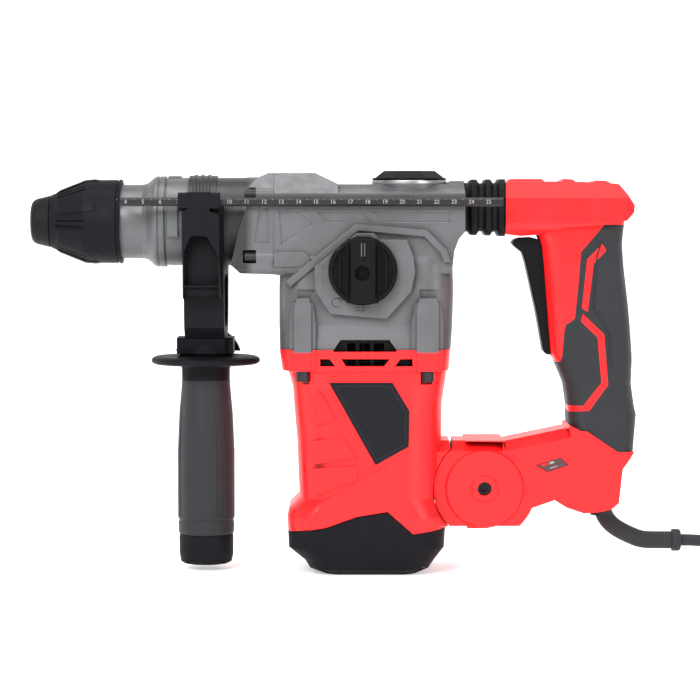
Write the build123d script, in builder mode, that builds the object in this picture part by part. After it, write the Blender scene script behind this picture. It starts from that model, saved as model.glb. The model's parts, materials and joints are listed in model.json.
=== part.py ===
from build123d import *
from math import acos, atan2, cos, degrees, hypot, pi, radians, sin, sqrt, tan
import os

os.makedirs("parts", exist_ok=True)

# A rotary hammer with an upright motor, in millimetres. The origin is the mouth of the tool
# holder's bore, +X runs back along the barrel and +Z is up. The tool stands on its end cover.

FLOOR = -207.5  # the end cover's flat bottom
MOTOR_X = 197.0  # upright motor axis
CRANK_X = 219.0  # upright crank axis
BEVEL_X = 177.0  # upright bevel pinion axis
SPLIT_X = 142.5  # front housing meets gear housing
RIM_Z = -74.4  # gear housing meets motor housing
SIDE_HALF = 33.0  # half width of the upper gear housing
LEG_HALF = 35.5  # half width of its lower part
MOTOR_HALF = 38.5  # half width of the motor housing
BEZEL_Y = -40.0  # face of the mode knob's bezel
KNOB_X, KNOB_Z = 194.4, -28.3
CAP_X, CAP_R = 222.0, 22.2
COLLAR_R = 26.0  # collar that the side handle clamps on
SIDE_X = 101.0  # axis of the side grip
ROD_Y, ROD_Z, ROD_R = -38.0, 11.6, 2.5
PIVOT_X, PIVOT_Z = 266.2, -157.1  # rear handle pivot
ARM_HALF = 22.0  # half width of the rear handle's arm
THROW = 6.0  # crank pin offset
CYLINDER_R, SPINDLE_R = 12.04, 15.0
RUN = 0.03  # radial clearance of a running fit

BORE_R, BORE_LENGTH = 5.05, 14.0
BALL_X, BALL_R, BALL_Z = 24.0, 3.5, 7.3
BALL_SLOPE = 0.2  # the sleeve's ramp: ball travel over sleeve travel
CORD_R = 3.5


def save(piece, name):
    """Label the piece and write its STEP file."""
    piece.part.label = name
    export_step(piece.part, f"parts/{name}.step")


def save_group(pieces, name):
    """Write several separate solids of one node as one STEP file."""
    group = Compound(label=name, children=[solid for p in pieces for solid in p.part.solids()])
    export_step(group, f"parts/{name}.step")


def spring(x0, x1, radius, wire, turns, z=0.0):
    """A round wire wound about a line along X."""
    with BuildLine() as path:
        Helix(pitch=(x1 - x0) / turns, height=x1 - x0, radius=radius, center=(x0, 0, z),
              direction=(1, 0, 0))
    with BuildSketch(Plane(origin=path.line @ 0, z_dir=path.line % 0)) as section:
        Circle(wire)
    sweep(section.sketch, path=path.line, is_frenet=True)


def plate(points, y0, y1, mode=Mode.ADD):
    """A prism along Y from y0 to y1 on an outline of (x, z) points."""
    with BuildSketch(Plane.XZ.offset(-y1)) as outline:
        with BuildLine():
            Polyline(*points, close=True)
        make_face()
    extrude(outline.sketch, amount=y1 - y0, mode=mode)


def both_sides(points, inner, outer, mode=Mode.ADD):
    """The same prism on the near and the far side."""
    plate(points, -outer, -inner, mode)
    plate(points, inner, outer, mode)


def bar(points, x0, x1, mode=Mode.ADD):
    """A prism along X from x0 to x1 on an outline of (y, z) points."""
    with BuildSketch(Plane.YZ.offset(x0)) as outline:
        with BuildLine():
            Polyline(*points, close=True)
        make_face()
    extrude(outline.sketch, amount=x1 - x0, mode=mode)


def mirrored(points):
    """A closed outline from its right half, listed from bottom to top as (y, z)."""
    return points + [(-y, z) for y, z in reversed(points)]


def block(x, y, z, mode=Mode.ADD):
    """A box between the pairs of limits x, y and z."""
    with Locations(((x[0] + x[1]) / 2, (y[0] + y[1]) / 2, (z[0] + z[1]) / 2)):
        Box(x[1] - x[0], y[1] - y[0], z[1] - z[0], mode=mode)


def post(x, y, z0, z1, radius, mode=Mode.ADD):
    """An upright cylinder."""
    with BuildSketch(Plane.XY.offset(z0)) as outline:
        with Locations((x, y)):
            Circle(radius)
    extrude(outline.sketch, amount=z1 - z0, mode=mode)


def axle(x0, x1, radius, y=0, z=0, mode=Mode.ADD):
    """A cylinder along X."""
    with BuildSketch(Plane.YZ.offset(x0)) as outline:
        with Locations((y, z)):
            Circle(radius)
    extrude(outline.sketch, amount=x1 - x0, mode=mode)


def peg(x, z, y0, y1, radius, mode=Mode.ADD):
    """A cylinder along Y."""
    with BuildSketch(Plane.XZ.offset(-y1)) as outline:
        with Locations((x, z)):
            Circle(radius)
    extrude(outline.sketch, amount=y1 - y0, mode=mode)


def turned(points, mode=Mode.ADD):
    """A body of revolution about the barrel axis from (x, radius) points."""
    with BuildSketch(Plane.XY) as outline:
        with BuildLine():
            Polyline(*points, close=True)
        make_face()
    revolve(outline.sketch, axis=Axis.X, mode=mode)


def upright(x, y, points, mode=Mode.ADD):
    """A body of revolution about a vertical axis at x, y from (radius, z) points."""
    with BuildSketch(Plane.XZ.offset(-y)) as outline:
        with BuildLine():
            Polyline(*[(x + r, z) for r, z in points], close=True)
        make_face()
    revolve(outline.sketch, axis=Axis((x, y, 0), (0, 0, 1)), mode=mode)


def tower(sections, mode=Mode.ADD):
    """A straight loft through level rounded rectangles (z, x0, x1, half width, corner)."""
    levels = []
    for z, x0, x1, half, corner in sections:
        with BuildSketch(Plane.XY.offset(z)) as level:
            with Locations(((x0 + x1) / 2, 0)):
                RectangleRounded(x1 - x0, 2 * half, corner)
        levels.append(level.sketch)
    loft(levels, ruled=True, mode=mode)


def spur(teeth, module, addendum, dedendum, backlash, phase=0.0):
    """The outline of a spur gear about the origin, with involute flanks."""
    pitch = teeth * module / 2
    base = pitch * cos(radians(20))
    tip, root = pitch + addendum, pitch - dedendum
    half = pi / (2 * teeth) - backlash / (2 * pitch)

    def spread(radius):
        def involute(r):
            angle = acos(min(1.0, base / r))
            return tan(angle) - angle

        return half + involute(pitch) - involute(max(radius, base))

    radii = [root, max(base, root + 0.2 * module), pitch, (pitch + tip) / 2, tip]
    outline = []
    for tooth in range(teeth):
        middle = phase + 2 * pi * tooth / teeth
        for radius in radii:
            angle = middle - spread(radius)
            outline.append((radius * cos(angle), radius * sin(angle)))
        for radius in reversed(radii):
            angle = middle + spread(radius)
            outline.append((radius * cos(angle), radius * sin(angle)))
    return outline


def spur_gear(x, z0, z1, outline, mode=Mode.ADD):
    """An upright spur gear at x on the centre plane."""
    with BuildSketch(Plane.XY.offset(z0)) as profile:
        with BuildLine():
            Polyline(*[(x + u, v) for u, v in outline], close=True)
        make_face()
    extrude(profile.sketch, amount=z1 - z0, mode=mode)


def socket_screws(places, axis, head_r, head_h, shank_r, shank_l):
    """Socket screws whose heads start at each place and stand out along axis."""
    out = Vector(*axis)
    for place in places:
        seat = Plane(origin=place, z_dir=out)
        with BuildSketch(seat) as head:
            Circle(head_r)
        extrude(head.sketch, amount=head_h)
        with BuildSketch(seat) as shank:
            Circle(shank_r)
        extrude(shank.sketch, amount=-shank_l)
        with BuildSketch(seat.offset(head_h)) as socket:
            RegularPolygon(head_r * 0.55, 6)
        extrude(socket.sketch, amount=-head_h * 0.6, mode=Mode.SUBTRACT)


def ball_bearing(plane, bore, outer, width):
    """Inner and outer races with a ring of balls between them, as one solid."""
    pitch, gap = (bore + outer) / 2, (outer - bore) / 2
    with BuildSketch(plane) as races:
        Circle(outer)
        Circle(bore, mode=Mode.SUBTRACT)
    extrude(races.sketch, amount=width)
    for face in (0, width):
        with BuildSketch(plane.offset(face)) as groove:
            Circle(pitch + 0.3 * gap)
            Circle(pitch - 0.3 * gap, mode=Mode.SUBTRACT)
        depth = 0.2 * width * (1 if face == 0 else -1)
        extrude(groove.sketch, amount=depth, mode=Mode.SUBTRACT)
    with Locations(plane.offset(width / 2)):
        with PolarLocations(pitch, 8):
            Sphere(0.42 * width if 0.42 * width < 0.6 * gap else 0.6 * gap)


# ---- Tool holder and chuck ------------------------------------------------------------------

HOLDER_R = 10.0
RAMP_R = BALL_Z + (BALL_R + 0.05) * sqrt(1 + BALL_SLOPE**2)  # ramp radius above the ball


def ramp(x):
    """Radius of the sleeve's ramp at x."""
    return RAMP_R - BALL_SLOPE * (x - BALL_X)


with BuildPart() as tool_holder:
    turned([(0, BORE_R), (0, 9.4), (0.6, HOLDER_R), (42, HOLDER_R), (42, 13.8), (48, 13.8),
            (48, 11.0), (56, 11.0), (56, 7.4), (46, 7.4), (46, 5.3), (BORE_LENGTH, 5.3),
            (BORE_LENGTH, BORE_R)])
    # two drive keys on the sides of the bore and the ball's radial hole
    for side in (-1, 1):
        block((17, 40), (side * 4.6 - 0.8, side * 4.6 + 0.8), (-1.2, 1.2))
    post(BALL_X, 0, 0, HOLDER_R + 1, BALL_R + 0.02, Mode.SUBTRACT)
    # groove for the retaining ring
    turned([(9.4, 9.4), (9.4, 12), (10.4, 12), (10.4, 9.4)], Mode.SUBTRACT)

with BuildPart() as retaining_ring:
    turned([(9.42, 9.42), (9.42, 12.2), (10.38, 12.2), (10.38, 9.42)])
    block((9, 11), (-1.5, 1.5), (-13, 0), Mode.SUBTRACT)
save_group([tool_holder, retaining_ring], "tool_holder")

with BuildPart() as dust_cap:
    turned([(-2, 5.7), (-2, 9.6), (-1.5, 11.3), (-0.4, 12.6), (1.2, 13.4), (9.1, 15.3), (9.1, 14.3),
            (8.6, 14.0), (8.6, 12.6), (9.1, 12.6), (9.1, HOLDER_R), (0, HOLDER_R), (0, 6.6),
            (-0.8, 5.7)])
save(dust_cap, "dust_cap")

with BuildPart() as locking_ball:
    with Locations((BALL_X, 0, BALL_Z)):
        Sphere(BALL_R)
save(locking_ball, "locking_ball")


def sleeve_outer(x):
    """Outer radius of the sleeve's cone."""
    return 15.5 + (x - 9.5) * (24.1 - 15.5) / (31.0 - 9.5)


with BuildPart() as chuck_sleeve:
    turned([(9.5, 13.3), (9.5, 15.1), (9.9, 15.7), (31, 24.1), (33, 24.5), (49.2, 24.7),
            (49.6, 24.2), (50.2, 24.2), (50.6, 24.9), (51.7, 24.9), (51.7, 22.35), (40.2, 22.35),
            (38.2, 20.4), (38.2, 15.6), (26, 15.6), (26, ramp(26)), (14, ramp(14)), (13.4, 13.3)])
    for turn in range(6):
        side = Plane.XY.rotated((60 * turn + 12, 0, 0))
        with BuildSketch(side):
            with BuildLine():
                Polyline((13, sleeve_outer(13) - 1), (13, sleeve_outer(13) + 0.3),
                         (15, sleeve_outer(15) + 0.9), (30, sleeve_outer(30) + 0.9),
                         (36, 25.1), (39, 24.6), (39, 24.2), (31, 23.1), close=True)
            make_face()
        revolve(axis=Axis.X, revolution_arc=34)
        # double groove beside each pad
        for turn_off in (-4, -13):
            slot = Plane.XY.rotated((60 * turn + 12 + turn_off, 0, 0))
            with BuildSketch(slot):
                with BuildLine():
                    Polyline((14, sleeve_outer(14) - 0.9), (14, sleeve_outer(14) + 1),
                             (31, sleeve_outer(31) + 1), (31, sleeve_outer(31) - 0.9), close=True)
                make_face()
            extrude(amount=0.6, both=True, mode=Mode.SUBTRACT)
save(chuck_sleeve, "chuck_sleeve")

with BuildPart() as chuck_spring:
    spring(27.0, 41.0, 12.2, 0.8, 4)
save(chuck_spring, "chuck_spring")

# ---- Spindle, bevel gear and hammer mechanism ------------------------------------------------

SPINDLE_END = 170.0
BEVEL_TEETH, RING_TEETH = 9, 36
BEVEL_PITCH, RING_PITCH = BEVEL_TEETH / 2, RING_TEETH / 2
BEVEL_SMALL = 0.74  # small end over large end, both seen from the apex at BEVEL_X

with BuildPart() as spindle_cylinder:
    turned([(48, 11.0), (48, SPINDLE_R - 0.4), (48.4, SPINDLE_R), (SPINDLE_END, SPINDLE_R),
            (SPINDLE_END, CYLINDER_R), (84, CYLINDER_R), (84, 9.04), (74, 9.04), (74, 7.54),
            (60, 7.54), (60, 11.0)])
    for side in (-1, 1):
        peg(98, 0, side * 13.5 - 3, side * 13.5 + 3, 2.0, Mode.SUBTRACT)
save(spindle_cylinder, "spindle_cylinder")

with BuildPart() as bevel_ring_gear:
    face_x = BEVEL_X - BEVEL_PITCH
    turned([(163, SPINDLE_R), (163, 16.5), (166, 18.9), (face_x - 1.1, 18.9),
            (BEVEL_X - (BEVEL_PITCH + 1.1) * BEVEL_SMALL, 18.9 * BEVEL_SMALL - 0.5),
            (SPINDLE_END, 18.9 * BEVEL_SMALL - 0.5), (SPINDLE_END, SPINDLE_R)])
    for tooth in range(RING_TEETH):
        turn = Plane.XY.rotated((360 * tooth / RING_TEETH + 5, 0, 0))
        for scale in (1.02, BEVEL_SMALL):
            half_root, half_tip = 0.78 * scale, 0.42 * scale
            root_x = BEVEL_X - (BEVEL_PITCH + 1.3) * scale
            tip_x = BEVEL_X - (BEVEL_PITCH - 0.8) * scale
            with BuildSketch(turn.offset(-RING_PITCH * scale)):
                with BuildLine():
                    Polyline((root_x, -half_root), (tip_x, -half_tip), (tip_x, half_tip),
                             (root_x, half_root), close=True)
                make_face()
        loft(ruled=True)
save(bevel_ring_gear, "bevel_ring_gear")

with BuildPart() as impact_bolt:
    turned([(57, 0), (57, 6.2), (58, 7.0), (60.5, 7.0), (60.5, 7.5), (74.3, 7.5), (75.8, 9.0),
            (83, 9.0), (83.6, 8.4), (83.6, 6.0), (90, 6.0), (90.6, 5.4), (90.6, 0)])
save(impact_bolt, "impact_bolt")

with BuildPart() as striker:
    turned([(96, 0), (96, 7.5), (97, 8.5), (104, 8.5), (104, 12.0), (109, 12.0), (109, 11.3),
            (111.4, 11.3), (111.4, 12.0), (122, 12.0), (122, 0)])
save(striker, "striker")

WRIST_X = 163.0
ROD_LENGTH = CRANK_X - THROW - WRIST_X
with BuildPart() as piston:
    turned([(136, 0), (136, 12.0), (140, 12.0), (140, 11.3), (142.4, 11.3), (142.4, 12.0),
            (176, 12.0), (176, 11.0), (177, 10.4), (177, 0)])
    # the hollow back takes the connecting rod's small end through the whole stroke
    block((144, 180), (-10.4, 10.4), (-5.4, 5.4), Mode.SUBTRACT)
save(piston, "piston")

with BuildPart() as connecting_rod:
    crank_pin_x = CRANK_X - THROW
    with BuildSketch(Plane.XY.offset(-3.5)):
        with Locations((crank_pin_x, 0)):
            Circle(7.5)
        with Locations((WRIST_X, 0)):
            Circle(4.0)
        with BuildLine():
            Polyline((WRIST_X, -3.6), (crank_pin_x, -5.5), (crank_pin_x, 5.5), (WRIST_X, 3.6),
                     close=True)
        make_face()
        with Locations((crank_pin_x, 0)):
            Circle(4.0 + RUN, mode=Mode.SUBTRACT)
        with Locations((WRIST_X, 0)):
            Circle(2.0, mode=Mode.SUBTRACT)
    extrude(amount=7)
    for face in (-3.5, 3.5):
        with BuildSketch(Plane.XY.offset(face)):
            with BuildLine():
                Polyline((WRIST_X + 7, -2.2), (crank_pin_x - 10, -3), (crank_pin_x - 10, 3),
                         (WRIST_X + 7, 2.2), close=True)
            make_face()
        extrude(amount=1.6 if face < 0 else -1.6, mode=Mode.SUBTRACT)

with BuildPart() as wrist_pin:
    post(WRIST_X, 0, -4.6, 4.6, 2.0)
save_group([connecting_rod, wrist_pin], "connecting_rod")

CRANK_TEETH, INTER_TEETH, PINION_TEETH = 36, 32, 8
with BuildPart() as crank_gear:
    spur_gear(CRANK_X, -22, -14, spur(CRANK_TEETH, 1.0, 0.85, 1.35, 0.2, pi / CRANK_TEETH))
    post(CRANK_X, 0, -14, -9, 12.5)
    post(CRANK_X - THROW, 0, -9, 5.2, 4.0)
    post(CRANK_X - THROW, 0, -9, -4.2, 6.0)
    post(CRANK_X, 0, -48, -22, 6.0)
    post(CRANK_X, 0, -26.5, -22, 8.0)
    with BuildSketch(Plane.XY.offset(-22)):
        with Locations((CRANK_X, 0)):
            Circle(15.5)
            Circle(9.5, mode=Mode.SUBTRACT)
    extrude(amount=2, mode=Mode.SUBTRACT)
    # balance hole opposite the pin
    post(CRANK_X + 8, 0, -15, -8, 3.0, Mode.SUBTRACT)
save(crank_gear, "crank_gear")

with BuildPart() as bevel_shaft:
    spur_gear(BEVEL_X, -30, -23.4, spur(INTER_TEETH, 1.0, 0.85, 1.35, 0.2, pi / INTER_TEETH))
    post(BEVEL_X, 0, -49, -30, 4.0)
    post(BEVEL_X, 0, -34.5, -30, 6.0)
    post(BEVEL_X, 0, -23.4, -RING_PITCH, 3.2)
    with BuildSketch(Plane.XY.offset(-30)):
        with Locations((BEVEL_X, 0)):
            Circle(13.2)
            Circle(7.5, mode=Mode.SUBTRACT)
    extrude(amount=1.6, mode=Mode.SUBTRACT)
    # bevel pinion: the large end's outline shrinks towards the apex on the barrel axis
    for scale in (1.0, BEVEL_SMALL + 0.02):
        profile = spur(BEVEL_TEETH, 1.0, 0.8, 1.25, 0.3, pi)
        with BuildSketch(Plane.XY.offset(-RING_PITCH * scale)):
            with BuildLine():
                Polyline(*[(BEVEL_X + u * scale, v * scale) for u, v in profile], close=True)
            make_face()
    loft(ruled=True)
save(bevel_shaft, "bevel_shaft")

BEARINGS = {
    "spindle_bearings": ((Plane.YZ.offset(58), SPINDLE_R + RUN, 19.0, 11.0),
                         (Plane.YZ.offset(147), SPINDLE_R + RUN, 21.0, 9.0)),
    "gear_bearings": ((Plane((CRANK_X, 0, -40)), 6.0 + RUN, 12.0, 12.0),
                      (Plane((BEVEL_X, 0, -46)), 4.0 + RUN, 9.5, 10.0)),
    "motor_bearings": ((Plane((MOTOR_X, 0, -60)), 4.0 + RUN, 11.0, 7.0),
                       (Plane((MOTOR_X, 0, -196)), 4.0 + RUN, 11.0, 7.0)),
}
for name, rings in BEARINGS.items():
    with BuildPart() as bearings:
        for plane, bore, outer, width in rings:
            ball_bearing(plane, bore, outer, width)
    save(bearings, name)

with BuildPart() as spindle_seal:
    turned([(50.2, SPINDLE_R + 0.3), (50.2, 18.9), (50.8, 18.98), (56.5, 18.98),
            (56.5, SPINDLE_R + 0.3), (54.5, SPINDLE_R + 1.4), (53.5, SPINDLE_R + 1.4)])
save(spindle_seal, "spindle_seal")

# ---- Front housing ----------------------------------------------------------------------------

UPPER_SECTION = mirrored([(30.5, -31.2), (SIDE_HALF, -28), (SIDE_HALF, 16.6), (22.5, 28.6)])
REAR_SECTION = mirrored([(30.0, -90), (SIDE_HALF, -80), (SIDE_HALF, 16.6), (19.0, 19.6),
                         (10.5, 24.2)])
INNER_SECTION = mirrored([(28.0, -28), (28.5, 12), (17.0, 24)])
SCREW_ROWS = [(side * 29.3, z) for side in (-1, 1) for z in (16.0, -20.2)]

with BuildPart() as front_housing:
    # rectangular flange with a swept front edge, trimmed to the housing's section
    plate([(126.5, 8), (128.3, 21.6), (133.1, 25.8), (139.0, 28.5), (SPLIT_X, 28.5),
           (SPLIT_X, -30.6), (123.0, -30.0), (117.5, -25.0), (121.5, -8)], -SIDE_HALF, SIDE_HALF)
    bar(UPPER_SECTION, 110, SPLIT_X, Mode.INTERSECT)
    turned([(49.2, 0), (49.2, 21.5), (49.6, 21.9), (64.7, 21.9), (67.5, 22.9), (71.0, 26.0),
            (72.3, 26.8), (74.0, 26.8), (74.0, 26.4), (74.8, 26.4), (74.8, 26.8), (78.0, 26.8),
            (78.0, 25.6), (79.1, 25.6), (79.1, COLLAR_R), (124.0, COLLAR_R), (132, 26.4),
            (132, 0)])
    # bosses around the four screws, ahead of the flange and on the side faces
    for y, z in SCREW_ROWS:
        axle(131.5, SPLIT_X, 4.6 if z < 0 else 3.6, y, z)
    # collar detail: a flat label pad on each side and a rib on top
    block((79.3, 87.0), (-3.2, 3.2), (20, 26.9))
    block((79.8, 86.4), (-26.5, -20), (-9, 11.5))
    # inside: seal and bearing seats, spindle passage, flange cavity
    turned([(49, 0), (49, 19.0), (69.2, 19.0), (69.2, 16.5), (74, 16.5), (77, 20.5),
            (119, 20.5), (119, 0)], Mode.SUBTRACT)
    with BuildSketch(Plane.YZ.offset(118.5)):
        with Locations((0, -2)):
            Circle(23.5)
    extrude(amount=SPLIT_X - 118.5, mode=Mode.SUBTRACT)
    # screw head seats, open to the front and the side
    for y, z in SCREW_ROWS:
        axle(124.5, 132.2, 3.9, y, z, Mode.SUBTRACT)
        side = 1 if y > 0 else -1
        block((124.5, 132.2), sorted((y, y + side * 6)), (z - 3.9, z + 3.9), Mode.SUBTRACT)
        axle(130, SPLIT_X, 2.25, y, z, Mode.SUBTRACT)
    panel = [(134.2, 7.6), (139.6, 9.0), (139.6, -12.8), (130.8, -12.2)]
    both_sides(panel, SIDE_HALF - 0.6, SIDE_HALF + 1, Mode.SUBTRACT)
save(front_housing, "front_housing")

with BuildPart() as front_housing_screws:
    socket_screws([(132.2, y, z) for y, z in SCREW_ROWS], (-1, 0, 0), 3.4, 6.6, 2.1, 24)

# ---- Gear housing -----------------------------------------------------------------------------

COLUMNS = ((154.4, 164.4), (225.6, 238.4))  # outer columns over the motor housing screws
SCREW_Y = 36.6

with BuildPart() as gear_cavity:
    plate([(SPLIT_X - 1, 24), (167, 24), (179, 18), (249.5, 18), (249.5, -2), (242.5, -12),
           (242.5, -52), (150.5, -52), (150.5, -27), (SPLIT_X - 1, -26)], -29, 29)
    bar(mirrored([(29, -60), (29, 11.5), (17.0, 24.5)]), SPLIT_X - 2, 255, Mode.INTERSECT)

with BuildPart() as gear_housing:
    # hump over the bevel gear
    plate([(SPLIT_X, 28.5), (166.6, 28.5), (180.0, 22.0), (180.0, -31), (145.4, -31),
           (SPLIT_X, -30.6)], -SIDE_HALF, SIDE_HALF)
    bar(UPPER_SECTION, SPLIT_X, 181, Mode.INTERSECT)
    # long upper body with the neck behind
    with BuildPart(mode=Mode.PRIVATE) as rear_body:
        plate([(150, 22.0), (244.2, 22.0), (244.6, 23.0), (246.2, 24.0), (254.0, 24.0),
               (254.0, -5.5), (250.2, -10.0), (247.6, -17), (246.2, -30), (150, -30)],
              -SIDE_HALF, SIDE_HALF)
        bar(REAR_SECTION, 149, 255, Mode.INTERSECT)
    add(rear_body.part)
    # lower body, rounded at its upright corners
    tower([(RIM_Z, 145.8, 246.0, 38.0, 17), (-60, 145.4, 247.0, LEG_HALF, 16),
           (-40, 145.4, 247.6, LEG_HALF, 16), (-24, 145.8, 247.0, LEG_HALF - 1.5, 15),
           (-14, 152.0, 246.0, LEG_HALF - 4, 14)])
    # raised frame along the top of the lower body
    rib = [(149.5, -34.6), (190.4, -1.2), (231.6, -4.6), (243.0, -16.2), (245.6, -23.2),
           (241.4, -23.4), (239.6, -18.0), (230.0, -8.4), (191.6, -5.0), (152.4, -37.4)]
    both_sides(rib, 30, SIDE_HALF + 3.4)
    # bezel of the mode knob on the near side, and its twin pad on the far side
    bezel = [(166.4, -26.0), (190.6, -6.4), (200.8, -6.4), (204.0, -10.2), (219.8, -10.2),
             (223.6, -20.0), (224.6, -28.5), (222.4, -40.0), (208.2, -56.0), (175.6, -53.2),
             (166.9, -40.0)]
    plate(bezel, BEZEL_Y, -28)
    plate(bezel, 28, 38.5)
    # screw columns with sloping shoulders
    for x0, x1 in COLUMNS:
        both_sides([(x0, RIM_Z - 1.4), (x1, RIM_Z - 1.4), (x1, -48), (x1 - 1.4, -44.2),
                    (x0 + 1.6, -44.2), (x0, -50)], 28, 41.4)
        both_sides([(x0 - 2.6, RIM_Z), (x1 + 2.6, RIM_Z), (x1 + 2.6, -58), (x1 + 0.8, -47),
                    (x0 - 0.6, -47), (x0 - 2.6, -58)], 28, 39.6)
        both_sides([(x0 + 2.4, -44.4), (x1 - 0.6, -44.4), (x1 + 2.2, -39.4), (x0 + 1.6, -39.4)],
                   34.2, 41, Mode.SUBTRACT)
    # boss ring under the grease cap
    post(CAP_X, 0, 14, 22.4, CAP_R + 0.2)
    # a small pad low on each side face; higher up, the swinging depth rod needs the room
    both_sides([(SPLIT_X, -26.0), (SPLIT_X, -17.4), (160.5, -17.4), (164.2, -21.7),
                (162.0, -26.0)], 26, SIDE_HALF + 1.2)
    add(gear_cavity.part, mode=Mode.SUBTRACT)
    # web that carries the spindle's rear bearing
    bar(mirrored([(29, -27.5), (29, 11.5), (17.0, 24.5)]), 147, 157)
    # seats of the upright bearings, standing on the partition
    post(CRANK_X, 0, -53, -28, 15.0)
    post(BEVEL_X, 0, -53, -36, 12.5)
    axle(140, 156, 21.0, mode=Mode.SUBTRACT)
    axle(156, 158, 17.0, mode=Mode.SUBTRACT)
    post(CRANK_X, 0, -40, -20, 12.0, Mode.SUBTRACT)
    post(CRANK_X, 0, -49, -38, 9.0, Mode.SUBTRACT)
    post(BEVEL_X, 0, -46, -30, 9.5, Mode.SUBTRACT)
    post(BEVEL_X, 0, -50, -44, 6.5, Mode.SUBTRACT)
    post(MOTOR_X, 0, -63, -53, 11.0, Mode.SUBTRACT)
    post(MOTOR_X, 0, -60, -48, 6.5, Mode.SUBTRACT)
    # fan space under the partition, and the exhaust window over the baffle
    tower([(-80, 150, 242, 33.0, 14), (-62, 150, 242, 32.0, 14)], Mode.SUBTRACT)
    both_sides([(176.2, RIM_Z - 2), (181.4, -68.6), (209.8, -68.6), (215.4, RIM_Z - 2)],
               30, 42, Mode.SUBTRACT)
    # knob stem bore, grease hole
    peg(KNOB_X, KNOB_Z, -42, -20, 8.0 + RUN, Mode.SUBTRACT)
    peg(KNOB_X, KNOB_Z, -42, BEZEL_Y + 1.2, 19.9, Mode.SUBTRACT)
    post(CAP_X, 0, 10, 30, 17.0, Mode.SUBTRACT)
    # sunk panels of the side faces
    panels = ([(145.4, 6.2), (157.6, 6.6), (166.0, -0.9), (146.6, -13.6)],
              [(166.8, 6.2), (193.6, 6.2), (200.6, -0.2), (172.6, -0.2)],
              [(198.4, 6.4), (245.4, 6.2), (245.4, -0.4), (205.8, -0.4)])
    for panel in panels:
        both_sides(panel, SIDE_HALF - 0.6, SIDE_HALF + 0.8, Mode.SUBTRACT)
    # holes for the front screws and the motor housing screws
    for y, z in SCREW_ROWS:
        axle(SPLIT_X, 158, 2.25, y, z, Mode.SUBTRACT)
    for x0, x1 in COLUMNS:
        for side in (-1, 1):
            post((x0 + x1) / 2, side * SCREW_Y, RIM_Z - 2, -56, 2.25, Mode.SUBTRACT)
    # hole for the vibration spring's guide rod
    axle(246, 256, 5.0, 0, 10, Mode.SUBTRACT)
save(gear_housing, "gear_housing")

with BuildPart() as grease_ring:
    upright(CAP_X, 0, [(17.02, 22.4), (CAP_R, 22.4), (CAP_R, 23.9), (CAP_R - 0.4, 24.3),
                       (17.02, 24.3)])
    upright(CAP_X, 0, [(16.95, 18.2), (16.95, 24.3), (14, 24.3), (14, 18.2)])
    with BuildSketch(Plane.XY.offset(22.4)):
        with Locations((CAP_X, 0)):
            Circle(17.02)
            Circle(16.9, mode=Mode.SUBTRACT)
    extrude(amount=1.9)
save(grease_ring, "grease_ring")

with BuildPart() as grease_cap:
    upright(CAP_X, 0, [(0, 20.0), (13.9, 20.0), (13.9, 24.35), (21.6, 24.35), (21.9, 24.9),
                       (21.9, 25.8), (0, 25.8)])
    for level, radius in ((25.8, 21.9), (29.9, 16.2)):
        with BuildSketch(Plane.XY.offset(level)):
            with Locations((CAP_X, 0)):
                RegularPolygon(radius, 8, rotation=22.5)
    loft(ruled=True)
    # wrench slots in the top
    for turn in range(4):
        with Locations(Location((CAP_X, 0, 29.9), (0, 0, 45 * turn))):
            Box(21, 1.6, 1.6, mode=Mode.SUBTRACT)
    post(CAP_X, 0, 28.6, 31, 6.0, Mode.SUBTRACT)
save(grease_cap, "grease_cap")

with BuildPart() as mode_knob:
    peg(KNOB_X, KNOB_Z, -44.2, BEZEL_Y + 0.9, 19.4)
    peg(KNOB_X, KNOB_Z, -47.5, -44.2, 18.9)
    peg(KNOB_X, KNOB_Z, BEZEL_Y + 0.9, -24, 8.0)
    # grip bar with chamfered flanks
    with BuildSketch(Plane.XY.offset(KNOB_Z - 18.4)):
        with BuildLine():
            Polyline((KNOB_X - 9.2, -46), (KNOB_X - 7.0, -52.6), (KNOB_X + 7.0, -52.6),
                     (KNOB_X + 9.2, -46), close=True)
        make_face()
    extrude(amount=36.8)
    # finger recesses either side, with a rib down each
    for side in (-1, 1):
        with BuildSketch(Plane.XZ.offset(45.3)):
            with Locations((KNOB_X, KNOB_Z)):
                Circle(17.6)
                Rectangle(19.6, 40, mode=Mode.SUBTRACT)
                with Locations((-side * 20, 0)):
                    Rectangle(40, 40, mode=Mode.SUBTRACT)
        extrude(amount=4, mode=Mode.SUBTRACT)
        x = KNOB_X + side * 13.4
        reach = sqrt(17.6**2 - 14.2**2)
        plate([(x - 0.7, KNOB_Z - reach), (x + 0.7, KNOB_Z - reach), (x + 0.7, KNOB_Z + reach),
               (x - 0.7, KNOB_Z + reach)], -47.0, -45)
    peg(KNOB_X - 0.4, KNOB_Z - 1.1, -53, -46.8, 4.4, Mode.SUBTRACT)
    plate([(KNOB_X + 0.3, KNOB_Z + 5.5), (KNOB_X + 1.5, KNOB_Z + 5.5),
           (KNOB_X + 1.5, KNOB_Z + 15.5), (KNOB_X + 0.3, KNOB_Z + 15.5)], -53, -52.0,
          Mode.SUBTRACT)
save(mode_knob, "mode_knob")

# ---- Motor ----------------------------------------------------------------------------------

ARMATURE_R = 22.5
with BuildPart() as armature_shaft:
    post(MOTOR_X, 0, -197, -31, 4.0)
    post(MOTOR_X, 0, -104, -86, 5.0)
    spur_gear(MOTOR_X, -31.5, -12.6, spur(PINION_TEETH, 1.0, 0.9, 1.2, 0.2))
save(armature_shaft, "armature_shaft")

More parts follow.
